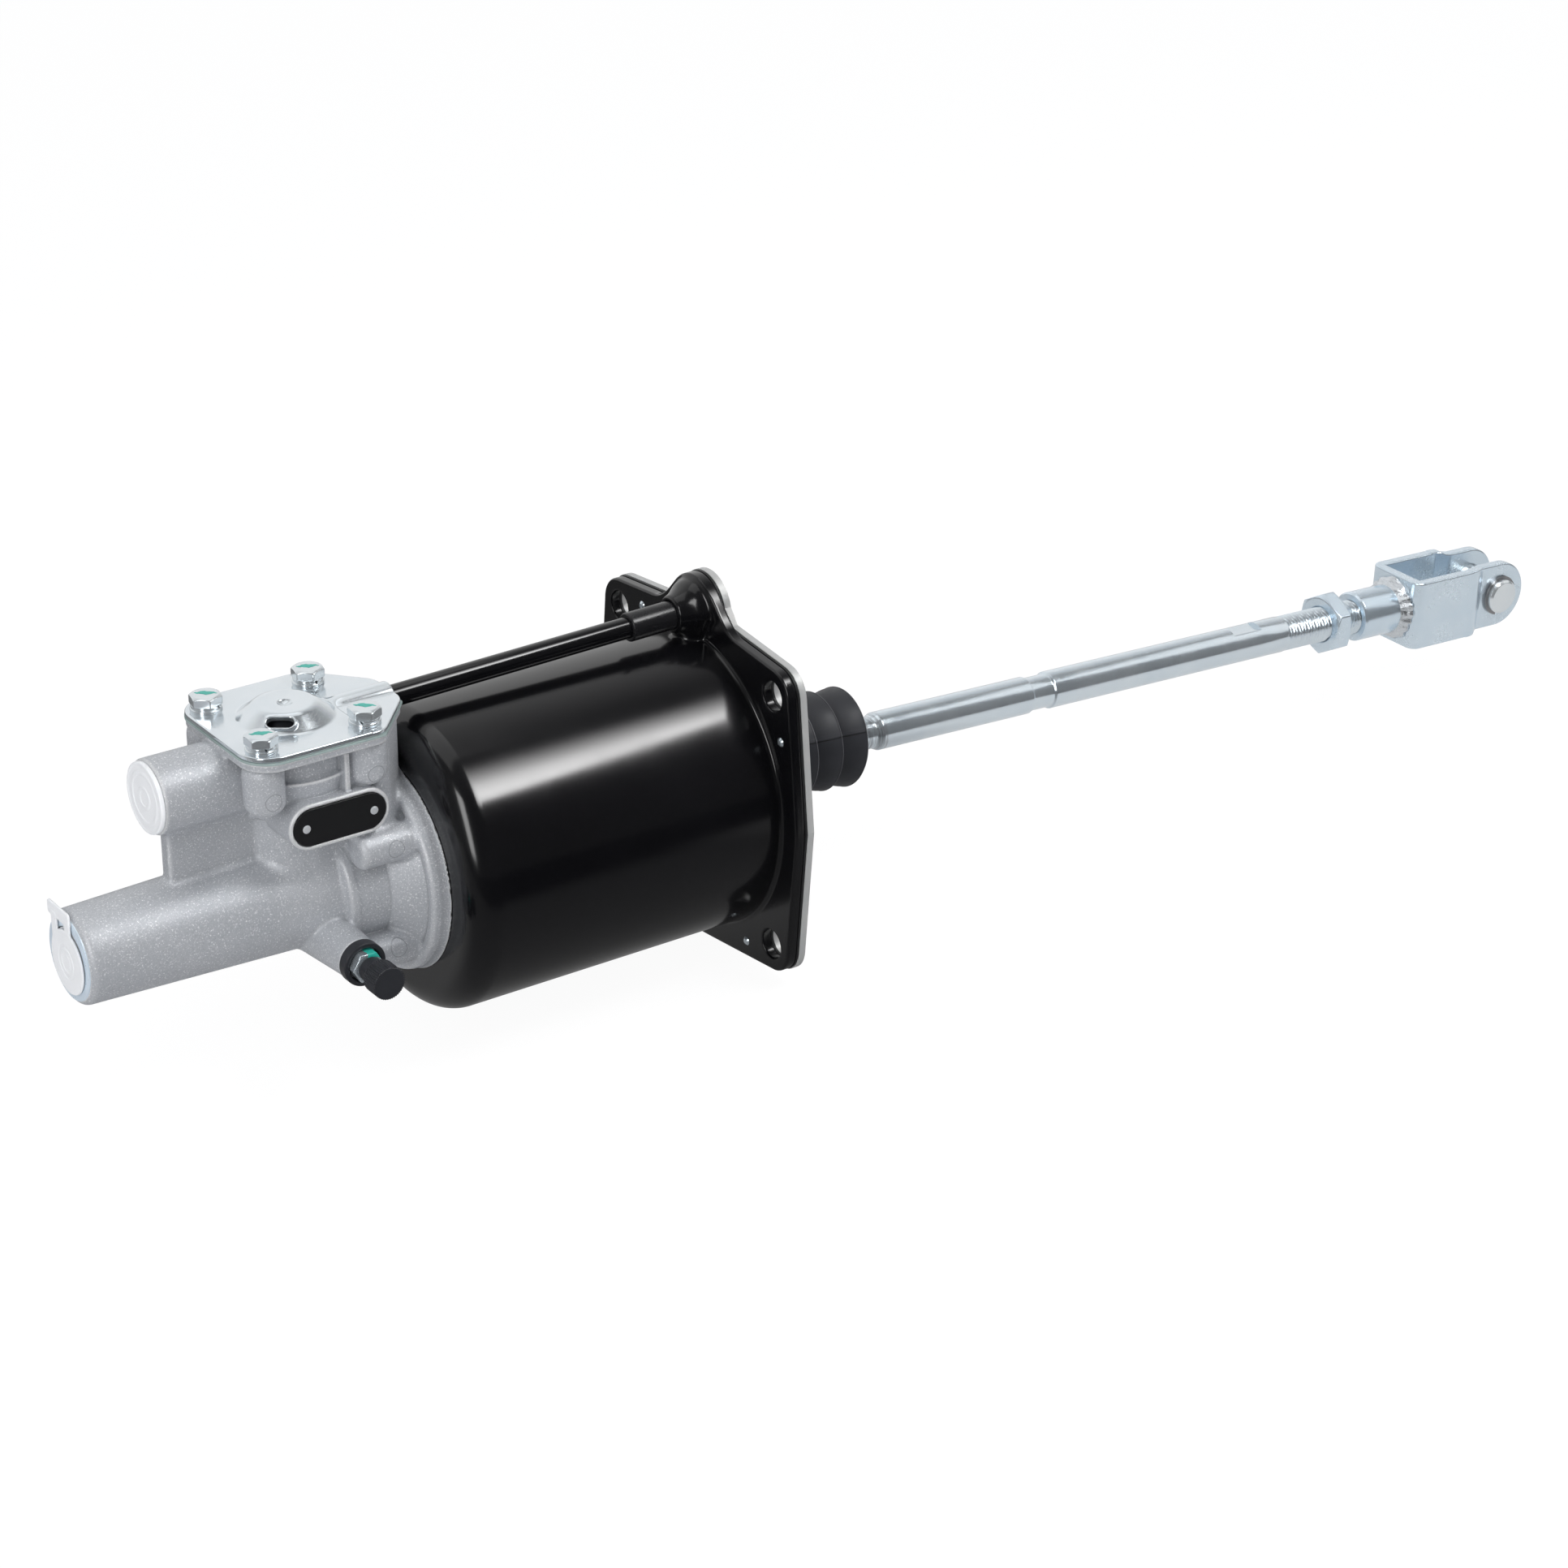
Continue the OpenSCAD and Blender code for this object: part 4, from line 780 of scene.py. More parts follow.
def rod_look():
    """The rod's zinc, with turning marks round its narrow seat and cone."""
    look = zinc_look("rod_zinc")
    n, bsdf, where = reopened(look)
    part = n.axes(where)
    flat = n.add("ShaderNodeMapping", None, Vector=where, Scale=(1.0, 0.05, 0.05)).outputs[0]
    rings = n.noise(flat, 2200, 3, 0.7)
    near = n.math("LESS_THAN", part["X"], 73 * MM)
    painted_highlight_and_marks = n.times(n.ramp(rings, (0.38, 1.0), (0.62, 0.0)), near)
    old = bsdf.inputs["Base Color"].links[0].from_socket
    n.link(n.mix(n.times(painted_highlight_and_marks, 0.6), old, (0.33, 0.35, 0.37, 1)),
                     bsdf.inputs["Base Color"])
    return look


def plastic_look(name, base, roughness, **fixed):
    """Moulded plastic with a faint flow texture."""
    look, n, bsdf, where = shader(name, base, roughness, **fixed)
    clouds = n.noise(where, 150, 3, 0.5)
    tone = n.mix(clouds, grey(base, 0.96), grey(base, 1.03))
    n.link(tone, bsdf.inputs["Base Color"])
    bump(n, bsdf, n.noise(where, 600, 3, 0.5), 0.08, 0.00008)
    return look


def plain_metal_look(name, base, roughness):
    """Metal of the inner pieces, with turning marks."""
    look, n, bsdf, where = shader(name, base, roughness, 1.0)
    marks = n.noise(where, 400, 3, 0.6)
    rough = n.ramp(marks, (0.3, roughness * 0.8), (0.7, roughness * 1.25))
    n.link(rough, bsdf.inputs["Roughness"])
    tone = n.mix(marks, grey(base, 0.92), grey(base, 1.08))
    n.link(tone, bsdf.inputs["Base Color"])
    bump(n, bsdf, marks, 0.08, 0.00005)
    return look


LOOKS = {
    "cast_aluminium": cast_look(),
    "bright_zinc": zinc_look(),
    "plated_plate": zinc_look("plated_plate", (0.70, 0.70, 0.69), 0.28, 0.5),
    "black_paint": black_paint_look(),
    "black_plate": plastic_look("black_plate", (0.012, 0.012, 0.013), 0.36, Metallic=0.2),
    "black_rubber": rubber_look(),
    "gasket_paper": rubber_look("gasket_paper", (0.25, 0.31, 0.30), 0.6),
    "white_plastic": plastic_look("white_plastic", (0.78, 0.79, 0.80), 0.38),
    "bush_plastic": plastic_look("bush_plastic", (0.74, 0.71, 0.62), 0.45),
    "piston_alloy": plain_metal_look("piston_alloy", (0.70, 0.70, 0.70), 0.32),
    "valve_brass": plain_metal_look("valve_brass", (0.72, 0.54, 0.26), 0.28),
    "spring_steel": plain_metal_look("spring_steel", (0.30, 0.30, 0.31), 0.32),
}
TEAL = plastic_look("teal_paint", (0.05, 0.40, 0.33), 0.4)
MARKED_ZINC = marked_zinc_look()
BLUE_ZINC = zinc_look("blue_zinc", (0.66, 0.75, 0.83), 0.25, 0.35, 0.3, 0.04)
COVER_ZINC = zinc_look("cover_zinc", (0.79, 0.835, 0.865), 0.12, 0.24)
BOLT_ZINC = zinc_look("bolt_zinc", (0.76, 0.80, 0.82), 0.16, 0.26, 0.8, 0.03)
CLEVIS_ZINC = zinc_look("clevis_zinc", (0.71, 0.805, 0.88), 0.17, 0.3, 0.82)
WELD_ZINC = weld_look()
ROD_ZINC = rod_look()
PLATE_STEEL = zinc_look("plate_steel", (0.50, 0.50, 0.49), 0.4, 0.55, 0.45)
BOOT_RUBBER = boot_look()
HOSE_RUBBER = rubber_look("hose_rubber", (0.008, 0.008, 0.009), 0.24)
GASKET_BLACK = rubber_look("gasket_black", (0.012, 0.012, 0.013), 0.5)
DULL_RIVET = zinc_look("dull_rivet", (0.58, 0.59, 0.60), 0.35, 0.5, 0.4)


# Casting

def cover_outline(u, v, shrink):
    """Distance to the cover's outline round the valve axis: round corners on the left,
    slanted corners at the cylinder's side."""
    left, right, half = COVER_LEFT - shrink, COVER_RIGHT - shrink * 0.4, COVER_HALF - shrink
    d = box_2d(u - (right - left) / 2, v, (right + left) / 2, half, COVER_CORNER - shrink)
    slant = ((u - (right - 17)) * 19 + (np.abs(v) - half) * 17) / math.hypot(17, 19)
    return both(d, slant, 2.0)


def hub_part(g, rho):
    """Barrel with its draft, stepped hub, flare, disc with its raised rim."""
    x = g[0]
    draft = BARREL_R + (x - BARREL_X - 2) * (BARREL_ROOT_R - BARREL_R) / BARREL_LEN
    body = capped(span(x, BARREL_X, CYL_X - 2), rho - draft, 2.6)
    body = join(body, rod_x(g, CYL_X - 27.5, CYL_X, 21.5, edge=1.0), 5.0)
    bead = capped(span(x, CYL_X - 29.5, CYL_X - 25.9), rho - 22.4, 1.5)
    body = join(body, bead, 1.4)
    cone = (rho - 22.3 - (x - CYL_X + 14.4) * 1.05) / math.hypot(1, 1.05)
    body = join(body, both(cone, span(x, CYL_X - 14.4, CYL_X), 0.5), 0.5)
    body = join(body, rod_x(g, CYL_X - 4.6, CYL_X + 2, 36.2, edge=1.2), 1.5)
    rim = capped(span(x, CYL_X - 6.6, CYL_X), np.abs(rho - 34.0) - 2.2, 1.9)
    return join(body, rim, 0.8)


def valve_part(g):
    """Neck, round valve body, the block on the cylinder's side, columns and lip."""
    x, y, z = g
    axis = np.hypot(x - VALVE_X, y)
    body = capped(span(z, 0, 42), axis - 14.7, 0.5)
    flare = (axis - 15.7 - (z - 33.0) * 0.42) / 1.08
    body = join(body, both(flare, span(z, 33.2, 50), 0.8), 0.5)
    body = join(body, capped(span(z, 41.0, TOP_Z), axis - 20.6, 1.6), 1.2)
    plan = cover_outline(x - VALVE_X, y, 1.8)
    side = both(plan, VALVE_X + 10 - x)
    side = both(side, np.abs(y) - 20.5, 2.5)
    body = join(body, capped(span(z, 24.0, TOP_Z), side, 1.5), 2.0)
    body = join(body, block(g, (VALVE_X, -14.7, 0), (CYL_X - 3, 14.7, 32), 2.0), 2.5)
    for sx, sy in CORNERS:
        foot = 41.8 if sx < 0 else 43.2
        column = rod_z(g, foot, TOP_Z - 1, 6.9, VALVE_X + sx * BOLT_Y, sy * BOLT_Y, 5.0)
        body = join(body, column, 1.0)
    lip = capped(span(z, TOP_Z - 2.8, TOP_Z + 1), cover_outline(x - VALVE_X, y, 0.2), 0.6)
    return join(body, lip, 0.9)


def casting_field(g):
    """The whole aluminium casting with its soft fillets, then its machined faces and bores."""
    x, y, z = g
    body = hub_part(g, np.hypot(y, z))
    for sy, sz in CORNERS:
        boss = rod_x(g, CYL_X - 26.5, CYL_X, BOSS_R, sy * SCREW_Y, sz * SCREW_Z, edge=2.6)
        body = join(body, boss, 1.6)
    body = join(body, valve_part(g), 2.6)
    # air port boss and its web
    body = join(body, rod_x(g, AIR_X, VALVE_X, 12.8, 0, AIR_Z, edge=0.9), 1.5)
    body = join(body, block(g, (WEB_X, -3, 0), (VALVE_X, 3, AIR_Z), 1.2), 2.5)
    # rib between the columns, name plate pad
    body = join(body, block(g, (-158.3, -22.9, 43), (-156.5, -10, 57), 0.6), 1.0)
    pad = capped(span(y, NAME_Y + 0.2, -8), stadium_2d(x - NAME_X, z - NAME_Z, 37.2, 16.2), 0.8)
    body = join(body, pad, 0.8)
    plate = stadium_2d(x - NAME_X, z - NAME_Z, 34.3, 13.3)
    body = cut(body, np.maximum(plate, y - NAME_Y - 1.0))
    # bleed boss, wider towards the barrel
    boss = np.hypot(x - BLEED_X, z - BLEED_Z) - (7.2 + (y + BLEED_FACE) * 0.075)
    body = join(body, capped(span(y, -BLEED_FACE, 0), boss, 1.0), 1.6)
    # machined: top face, cylinder side, bores
    body = both(body, z - TOP_Z)
    body = both(body, x - CYL_X)
    body = cut(body, rod_x(g, BARREL_X - 5, BARREL_X + 9, 13.8))
    body = cut(body, rod_x(g, BARREL_X, BARREL_X + 30, 5.0))
    body = cut(body, rod_x(g, BARREL_X + 21, CYL_X + 5, 11.2))
    body = cut(body, rod_x(g, CYL_X - 12, CYL_X + 5, 13.2))
    body = cut(body, rod_x(g, AIR_X - 5, AIR_X + 14, 7.35, 0, AIR_Z))
    body = cut(body, rod_z(g, 43, 70, 13.4, VALVE_X, 0))
    body = cut(body, rod_z(g, 16, 45, 6.7, VALVE_X, 0))
    body = cut(body, rod_y(g, -BLEED_FACE - 5, -BLEED_FACE + 17, 4.2, BLEED_X, BLEED_Z))
    body = cut(body, rod_x(g, CYL_X - 14, CYL_X + 5, PIPE_R + 0.35, 0, PIPE_Z_VALVE))
    for sx, sy in CORNERS:
        body = cut(body, rod_z(g, 48, 70, 3.2, VALVE_X + sx * BOLT_Y, sy * BOLT_Y))
        body = cut(body, rod_x(g, CYL_X - 14, CYL_X + 5, 3.2, sx * SCREW_Y, sy * SCREW_Z))
    return body


def add_casting():
    """The casting in place of the CAD's sharper one."""
    obj = field_object("casting", casting_field,
                       lines(BARREL_X - 1.2, 0.55, CYL_X + 1.2),
                       lines(-37.5, 0.55, 37.5), lines(-37.5, 0.55, TOP_Z + 1.2))
    finish_piece(obj, "housing", "cast_aluminium", "cast_body")


# Barrel insert and transit plugs

def add_insert():
    """Plated ring in the barrel's end."""
    face, end, out_r, in_r = BARREL_X - 0.3, BARREL_X + 9, 13.55, 10.7
    brim_r = out_r + 0.95
    profile = filleted([(face + 6, in_r, 0), (face, in_r, 0.4), (face, brim_r, 0.3),
                        (face + 0.55, brim_r, 0.1), (face + 0.6, out_r, 0.1),
                        (end, out_r, 0.2), (end, 5, 0.2), (face + 6, 5, 0), (face + 6, in_r, 0)])
    finish_piece(turned("insert", profile), "housing", "bright_zinc", "barrel_insert",
                 look=BLUE_ZINC)


def add_air_plug():
    """White plug of the air port, with raised rings on its face."""
    face, r = AIR_X - 1.6, 12.2
    profile = filleted([(face + 0.2, 0, 0), (face + 0.2, 2.6, 0.3), (face, 3.0, 0.3),
                        (face, 3.8, 0.3), (face + 0.22, 4.3, 0.3), (face + 0.22, 7.6, 0.3),
                        (face, 8.1, 0.3), (face, 9.0, 0.3), (face + 0.16, 9.5, 0.3),
                        (face + 0.16, r - 1.2, 0.3), (face, r - 0.8, 0.3), (face, r, 0.4),
                        (AIR_X, r, 0.3), (AIR_X, 7.1, 0.1), (AIR_X + 9.5, 7.1, 0.5),
                        (AIR_X + 9.5, 5.6, 0.3), (AIR_X, 5.6, 0.3), (AIR_X, 0, 0)])
    place = Matrix.Translation((0, 0, AIR_Z))
    finish_piece(turned("air_plug_cap", profile, place), "supply_plug", "white_plastic",
                 "air_plug")


def hydraulic_plug_field(g):
    """Thin disc with a hollow skirt, two arms and the pull tab above the barrel's edge."""
    x, y, z = g
    face = PLUG_X
    body = rod_x(g, face - 0.6, face + 5.0, 10.5, edge=0.3)
    body = cut(body, rod_x(g, face + 0.4, face + 9, 9.1))
    stem = rod_x(g, face - 1.6, face, 8.6, 0, -0.9, edge=0.3)
    body = join(body, stem, 0.4)
    # the disc covers the skirt and sits a little below the barrel's middle
    away = np.hypot(y + 0.4, z + 0.9)
    disc = capped(span(x, face - 2.0, face - 1.1), away - 11.2, 0.4)
    body = join(body, disc, 0.3)
    for r in (3.0, 5.4):
        body = cut(body, np.maximum(span(x, face - 2.4, face - 1.88), np.abs(away - r) - 0.5), 0.3)
    arms = box_2d(np.abs(y - 2.8) - 4.7, z - 9.2, 1.9, 5.0, 0.3)
    body = join(body, capped(span(x, face - 1.9, face - 1.1), arms, 0.3), 0.3)
    tab = capped(span(x, face - 1.9, face - 1.0), box_2d(y - 3.9, z - 14.9, 7.7, 2.5, 1.3), 0.4)
    return join(body, tab, 0.5)


def add_hydraulic_plug():
    """White plug of the hydraulic port with its pull tab."""
    face = PLUG_X
    obj = field_object("hydraulic_plug_cap", hydraulic_plug_field,
                       lines(face - 2.5, 0.16, face + 0.8, 0.4, face + 6.6), lines(-12, 0.25, 12),
                       lines(-12, 0.25, 18.6))
    finish_piece(obj, "inlet_plug", "white_plastic", "hydraulic_plug")


# Valve cover and what holds it

def cover_heights(u, v):
    """Height of the cover's upper side above the sheet, round the valve axis."""
    rho = np.hypot(u, v)
    dome = smooth_max(smooth_min((DOME_R - rho) * DOME_H / DOME_FLANK, DOME_H, 1.0), 0 * rho, 0.5)
    dome = dome - 0.35 * np.clip(1 - (rho / 8.5) ** 2, 0, 1)
    dimple = np.sqrt(np.maximum(3.6**2 - rho**2, 0)) - 2.5
    dome = dome - np.maximum(dimple, 0)
    line = PIPE_Z_VALVE + (u - COVER_RIGHT) * 0.018 - COVER_Z
    ridge = np.sqrt(np.maximum(5.6**2 - v**2, 0)) + line
    share = np.clip((u - CHANNEL_START) / CHANNEL_RISE, 0, 1)
    ridge = ridge * np.sqrt(share * (2 - share))
    return smooth_max(dome, ridge, 0.8)


def smooth_min(a, b, soft):
    """The smaller of two heights, with a soft bend where they meet."""
    h = np.maximum(soft - np.abs(a - b), 0) / soft
    return np.minimum(a, b) - h * h * soft / 4


def smooth_max(a, b, soft):
    """The larger of two heights, with a soft bend where they meet."""
    return -smooth_min(-a, -b, soft)


def valve_cover_field(g):
    """Pressed sheet with its dome, dimple, pipe channel and the lipped vent slot."""
    x, y, z = g
    u, v = x - VALVE_X, y
    height = cover_heights(u, v)
    top = COVER_Z + height
    lean = 1 / np.sqrt(1 + (height > 0.05) * (height < DOME_H - 0.3) * 0.45)
    sheet = np.maximum(z - top, top - 1.5 / lean - z) * lean
    body = capped(sheet, cover_outline(u, v, 0.0), 0.5)
    # vent slot on the slope that faces the camera, its lip raised
    c, s = math.cos(VENT_TURN), math.sin(VENT_TURN)
    side = u * c - v * s
    down = z - (COVER_Z + 3.0)
    out = -v * c - u * s - 12.9
    along_slope = (out * 0.828 - down * 0.56)
    off_slope = (out * 0.56 + down * 0.828)
    slot = stadium_2d(side, along_slope, 9.0, 3.7)
    lip = capped(span(off_slope, -1.2, 0.8), stadium_2d(side, along_slope, 10.8, 5.4), 0.4)
    body = join(body, lip, 0.3)
    body = cut(body, np.maximum(slot, span(off_slope, -5, 4)), 0.3)
    body = cut(body, rod_x([u, y, z], 24, 45, PIPE_R + 0.3, 0, PIPE_Z_VALVE - 0.1))
    for sx, sy in CORNERS:
        body = cut(body, rod_z([u, y, z], 60, 70, 3.3, sx * BOLT_Y, sy * BOLT_Y))
    return body


def add_valve_cover():
    """Bright zinc cover of the control valve."""
    obj = field_object("valve_cover_sheet", valve_cover_field,
                       lines(VALVE_X - 28.6, 0.35, CYL_X + 0.8), lines(-28.7, 0.35, 28.7),
                       lines(GASKET_Z - 0.7, 0.18, COVER_Z + 0.6, 0.28, COVER_Z + 6.2))
    finish_piece(obj, "housing", "bright_zinc", "valve_cover", look=COVER_ZINC)


def bolt_places(z, turns=(-30, -41, -33, -38)):
    """A matrix at each cover bolt, at height z, each turned by its own angle in degrees."""
    return [Matrix.Translation((VALVE_X + sx * BOLT_Y, sy * BOLT_Y, z))
            @ Matrix.Rotation(math.radians(turn), 4, "Z")
            for (sx, sy), turn in zip(CORNERS, turns)]


def bolt_top(rho):
    """Height of a bolt head's top: flat, with a rounded chamfer at its corners."""
    return 4.0 - np.maximum(rho - 4.2, 0) ** 1.5 * 0.42


def bolt_field(g):
    """Hexagon head with a chamfered top, and the shank."""
    x, y, z = g
    rho = np.hypot(x, y)
    head = capped(span(z, 0.65, 6), hexagon_2d(y, x, 10, 0.35), 0.2)
    head = both(head, (z - bolt_top(rho)) * 0.93, 0.1)
    return join(head, capped(span(z, -16.7, 0.5), rho - 2.95, 0.2), 0.1)


def paint_field(g):
    """A thin stroke of marking paint across a bolt head."""
    x, y, z = g
    rho = np.hypot(x, y)
    wobble = 0.22 * np.sin(x * 1.7 + 0.4) + 0.12 * np.sin(x * 4.1)
    stroke = np.abs(y - 0.5 + wobble) - 1.25 * (1 - (x / 4.3) ** 2) ** 2
    stroke = np.maximum(stroke, np.abs(x) - 4.0)
    return capped(np.abs(z - bolt_top(rho) - 0.03) - 0.09, stroke, 0.05)


def washer_field(g):
    """Split spring washer."""
    x, y, z = g
    rho = np.hypot(x, y)
    ring = capped(span(z, 1.05, 2.3), np.abs(rho - 4.1) - 1.0, 0.45)
    ring = join(ring, capped(span(z, 0, 1.15), np.abs(rho - 4.25) - 1.15, 0.45))
    gap = np.maximum(np.maximum(np.abs(y + (z - 1.7) * 0.5) - 0.35, -x), 1.1 - z)
    return cut(ring, gap, 0.1)


def add_cover_bolts():
    """Four bolts with spring washers and a stroke of paint."""
    head = bolt_places(COVER_Z + 1.6)
    across = lines(-6.2, 0.24, 6.2)
    obj = copies("cover_bolt_set", bolt_field, (across, across, lines(-17.2, 1.2, -0.6, 0.24, 4.6)),
                 head)
    finish_piece(obj, "housing", "bright_zinc", "cover_bolts", look=BOLT_ZINC)
    across = lines(-5.0, 0.18, 5.0)
    strokes = bolt_places(COVER_Z + 1.6, (-22, -36, -40, -27))
    obj = copies("bolt_paint", paint_field, (across, across, lines(3.2, 0.08, 4.5)), strokes)
    finish_piece(obj, "housing", "bright_zinc", look=TEAL)
    across = lines(-5.6, 0.22, 5.6)
    washers = bolt_places(COVER_Z, (-100, -60, -130, -85))
    obj = copies("washer_set", washer_field, (across, across, lines(-0.3, 0.16, 2.6)), washers)
    finish_piece(obj, "housing", "bright_zinc", "spring_washers", look=BOLT_ZINC)


# Name plate

def name_plate_field(g):
    """Black stadium plate, left bare."""
    plan = stadium_2d(g[0] - NAME_X, g[2] - NAME_Z, 34, 13)
    return capped(span(g[1], NAME_Y, NAME_Y + 1), plan, 0.25)


def add_name_plate():
    """The bare plate and its two flush rivets."""
    obj = field_object("name_plate_bare", name_plate_field,
                       lines(NAME_X - 17.6, 0.3, NAME_X + 17.6),
                       lines(NAME_Y - 0.5, 0.2, NAME_Y + 1.5), lines(NAME_Z - 7, 0.3, NAME_Z + 7))
    finish_piece(obj, "housing", "black_plate", "name_plate")
    dome = filleted([(-0.5, 0, 0), (-0.5, 1.0, 0.3), (-0.3, 1.4, 0.25), (0.2, 1.45, 0),
                     (0.3, 1.0, 0), (6, 1.0, 0), (6, 0, 0)])
    rivets = []
    for side in (-1, 1):
        spot = Matrix.Translation((NAME_X + side * NAME_PITCH / 2, NAME_Y, NAME_Z))
        turn = Matrix.Rotation(math.radians(90), 4, "Z")
        rivets.append(turned("rivet", dome, spot @ turn, sides=40))
    finish_piece(joined("name_plate_rivet_pair", rivets), "housing", "bright_zinc",
                 "name_plate_rivets", look=DULL_RIVET)


# Pressure cylinder

def flange_outline(y, z):
    """Distance to the flange's outline: round corners, sides that bulge to a soft vertex,
    and the breather lobe on top."""
    p = np.maximum(np.abs(y), np.abs(z))
    q = np.sqrt(np.minimum(np.abs(y), np.abs(z))**2 + 9)
    dx, dz = HOLE_Y - SIDE_REACH, HOLE_Y
    length = math.hypot(dx, dz)
    angle = math.atan2(dz, dx) - math.asin(EAR_R / length)
    run = math.sqrt(length**2 - EAR_R**2)
    c, s = math.cos(angle), math.sin(angle)
    along = (p - SIDE_REACH) * c + q * s
    edge = (p - SIDE_REACH) * s - q * c
    corner = np.hypot(p - HOLE_Y, q - HOLE_Y) - EAR_R
    plate = np.where(along > run, corner, edge)
    return join(plate, np.hypot(y, z - PIPE_Z) - LOBE_R, 14.0)


def cylinder_field(g):
    """Pressed steel cylinder, its flare and flange, and the boss that takes the hose."""
    x, y, z = g
    rho = np.hypot(y, z)
    outer = capped(span(x, CYL_X, 20), rho - CYL_R, 10.5)
    flange = capped(span(x, FLANGE_X, 20), flange_outline(y, z), 0.9)
    body = join(outer, flange, 1.8)
    # pressed dome round the hose's end, drawn out towards the cylinder
    below = np.maximum(PIPE_Z - z, 0)
    around = np.hypot(y * (1 + below * 0.055), (z - PIPE_Z) * np.where(z < PIPE_Z, 0.62, 1))
    bulge = np.sqrt(((x - FLANGE_X - 0.5) / 8.8) ** 2 + (around / 11.2) ** 2 + 1e-6)
    body = join(body, (bulge - 1) * 8.0 / np.maximum(bulge, 0.8), 1.8)
    sleeve = rod_x(g, FLANGE_X - 9.5, FLANGE_X, HOSE_R + 1.2, 0, PIPE_Z, edge=0.8)
    body = join(body, sleeve, 3.0)
    body = both(body, capped(x + 3.3, flange_outline(y, z), 0.7))
    body = cut(body, capped(span(x, CYL_X + 3, 20), rho - 51, 7.5))
    body = cut(body, rod_x(g, CYL_X - 5, CYL_X + 8, 16.2))
    body = cut(body, rod_x(g, FLANGE_X - 12, FLANGE_X - 2, HOSE_R + 0.1, 0, PIPE_Z), 0.2)
    for sy, sz in CORNERS:
        hole = rod_x(g, FLANGE_X - 5, 5, HOLE_R, sy * HOLE_Y, sz * HOLE_Y)
        body = cut(body, hole, 0.5)
    return body


def add_cylinder():
    """Black painted pressure cylinder."""
    side = lines(-64, 0.6, 64)
    obj = field_object("cylinder", cylinder_field,
                       lines(CYL_X - 1, 0.7, CYL_X + 13, 3.0, -27, 0.8, -19, 0.42, -2.4),
                       side, lines(-64, 0.6, 77.4))
    finish_piece(obj, "housing", "black_paint", "pressure_cylinder")


def rivet_spots():
    """The four rivets beside the mounting holes, as y and z."""
    angles = [math.radians(RIVET_ANGLE + 90 * i) for i in range(4)]
    return [(RIVET_R * math.cos(a), RIVET_R * math.sin(a)) for a in angles]


def add_flange_rivets():
    """Four silver rivets with a shallow dome."""
    dome = filleted([(-8.0, 0, 0), (-7.95, 0.9, 0.5), (-7.2, 1.75, 0.2), (-7.2, 1.35, 0),
                     (0, 1.35, 0), (0, 0, 0)])
    rivets = [turned("rivet", dome, Matrix.Translation((0, y, z)), sides=32)
              for y, z in rivet_spots()]
    finish_piece(joined("flange_rivet_set", rivets), "housing", "bright_zinc", "flange_rivets")


# Breather pipe and hose

def pipe_frame(x):
    """A matrix at a place on the pipe's line, its X along the pipe."""
    lean = (PIPE_Z - PIPE_Z_VALVE) / (FLANGE_X - CYL_X)
    z = PIPE_Z_VALVE + (x - CYL_X) * lean
    return Matrix.Translation((x, 0, z)) @ Matrix.Rotation(-math.atan(lean), 4, "Y")


def add_pipe():
    """Black steel pipe from under the valve cover to the hose."""
    length = FLANGE_X - 16 - (CYL_X - 12)
    profile = filleted([(0, PIPE_R - 1, 0), (0, PIPE_R, 0.3), (length, PIPE_R, 0.3),
                        (length, PIPE_R - 1, 0.3), (0, PIPE_R - 1, 0)])
    obj = turned("pipe", profile, pipe_frame(CYL_X - 12), sides=64)
    finish_piece(obj, "housing", "black_paint", "breather_pipe")


def add_hose():
    """Rubber hose between the pipe and the flange's boss."""
    profile = filleted([(0, PIPE_R, 0), (0, HOSE_R, 0.7), (25, HOSE_R, 0.5), (25, PIPE_R, 0.3),
                        (0, PIPE_R, 0)])
    obj = turned("hose", profile, pipe_frame(FLANGE_X - 2.5 - 25), sides=64)
    finish_piece(obj, "housing", "black_rubber", "pipe_hose", look=HOSE_RUBBER)


# Rubber boot

CREST_R = 18.0
VALLEY_R = 14.9
FIRST_FOLD = 12.2
FOLD_PITCH = 10.8
LAST_FOLD = FIRST_FOLD + 4 * FOLD_PITCH
# where in a pitch the valley lies, behind its crest
VALLEY_SHARE = 0.14
BOOT_SEAM = FIRST_FOLD + (2 + VALLEY_SHARE) * FOLD_PITCH
BOOT_WALL = 1.6
# how far the rod pulls the boot down at its last fold, and the power the sag grows with
BOOT_SAG = 2.5
SAG_POWER = 2.6


def boot_centre(x):
    """How far the hanging rod pulls the boot's middle down at x, and the tangent of its tilt."""
    along = max(x, 0) / LAST_FOLD
    sag = -BOOT_SAG * along**SAG_POWER
    tilt = -SAG_POWER * BOOT_SAG * along**(SAG_POWER - 1) / LAST_FOLD
    rod = -(x - BALL_X) * math.tan(ROD_TILT)
    share = min(1, max(0, (x - LAST_FOLD - 0.3) / 2.5))
    return sag * (1 - share) + rod * share, tilt * (1 - share) - math.tan(ROD_TILT) * share


def boot_outside(x):
    """Radius of the folds: each rises in a round flank to a sharp crest and drops steeply
    behind it."""
    t = ((x - FIRST_FOLD) / FOLD_PITCH) % 1.0
    if t < VALLEY_SHARE:
        part = 1 - t / VALLEY_SHARE
    else:
        part = 1 - (1 - (t - VALLEY_SHARE) / (1 - VALLEY_SHARE)) ** 1.9
    away = min(t, 1 - t) * FOLD_PITCH
    lip = 0.28 * max(0.0, 1 - away / 0.45)
    return VALLEY_R + (CREST_R - VALLEY_R) * part + lip


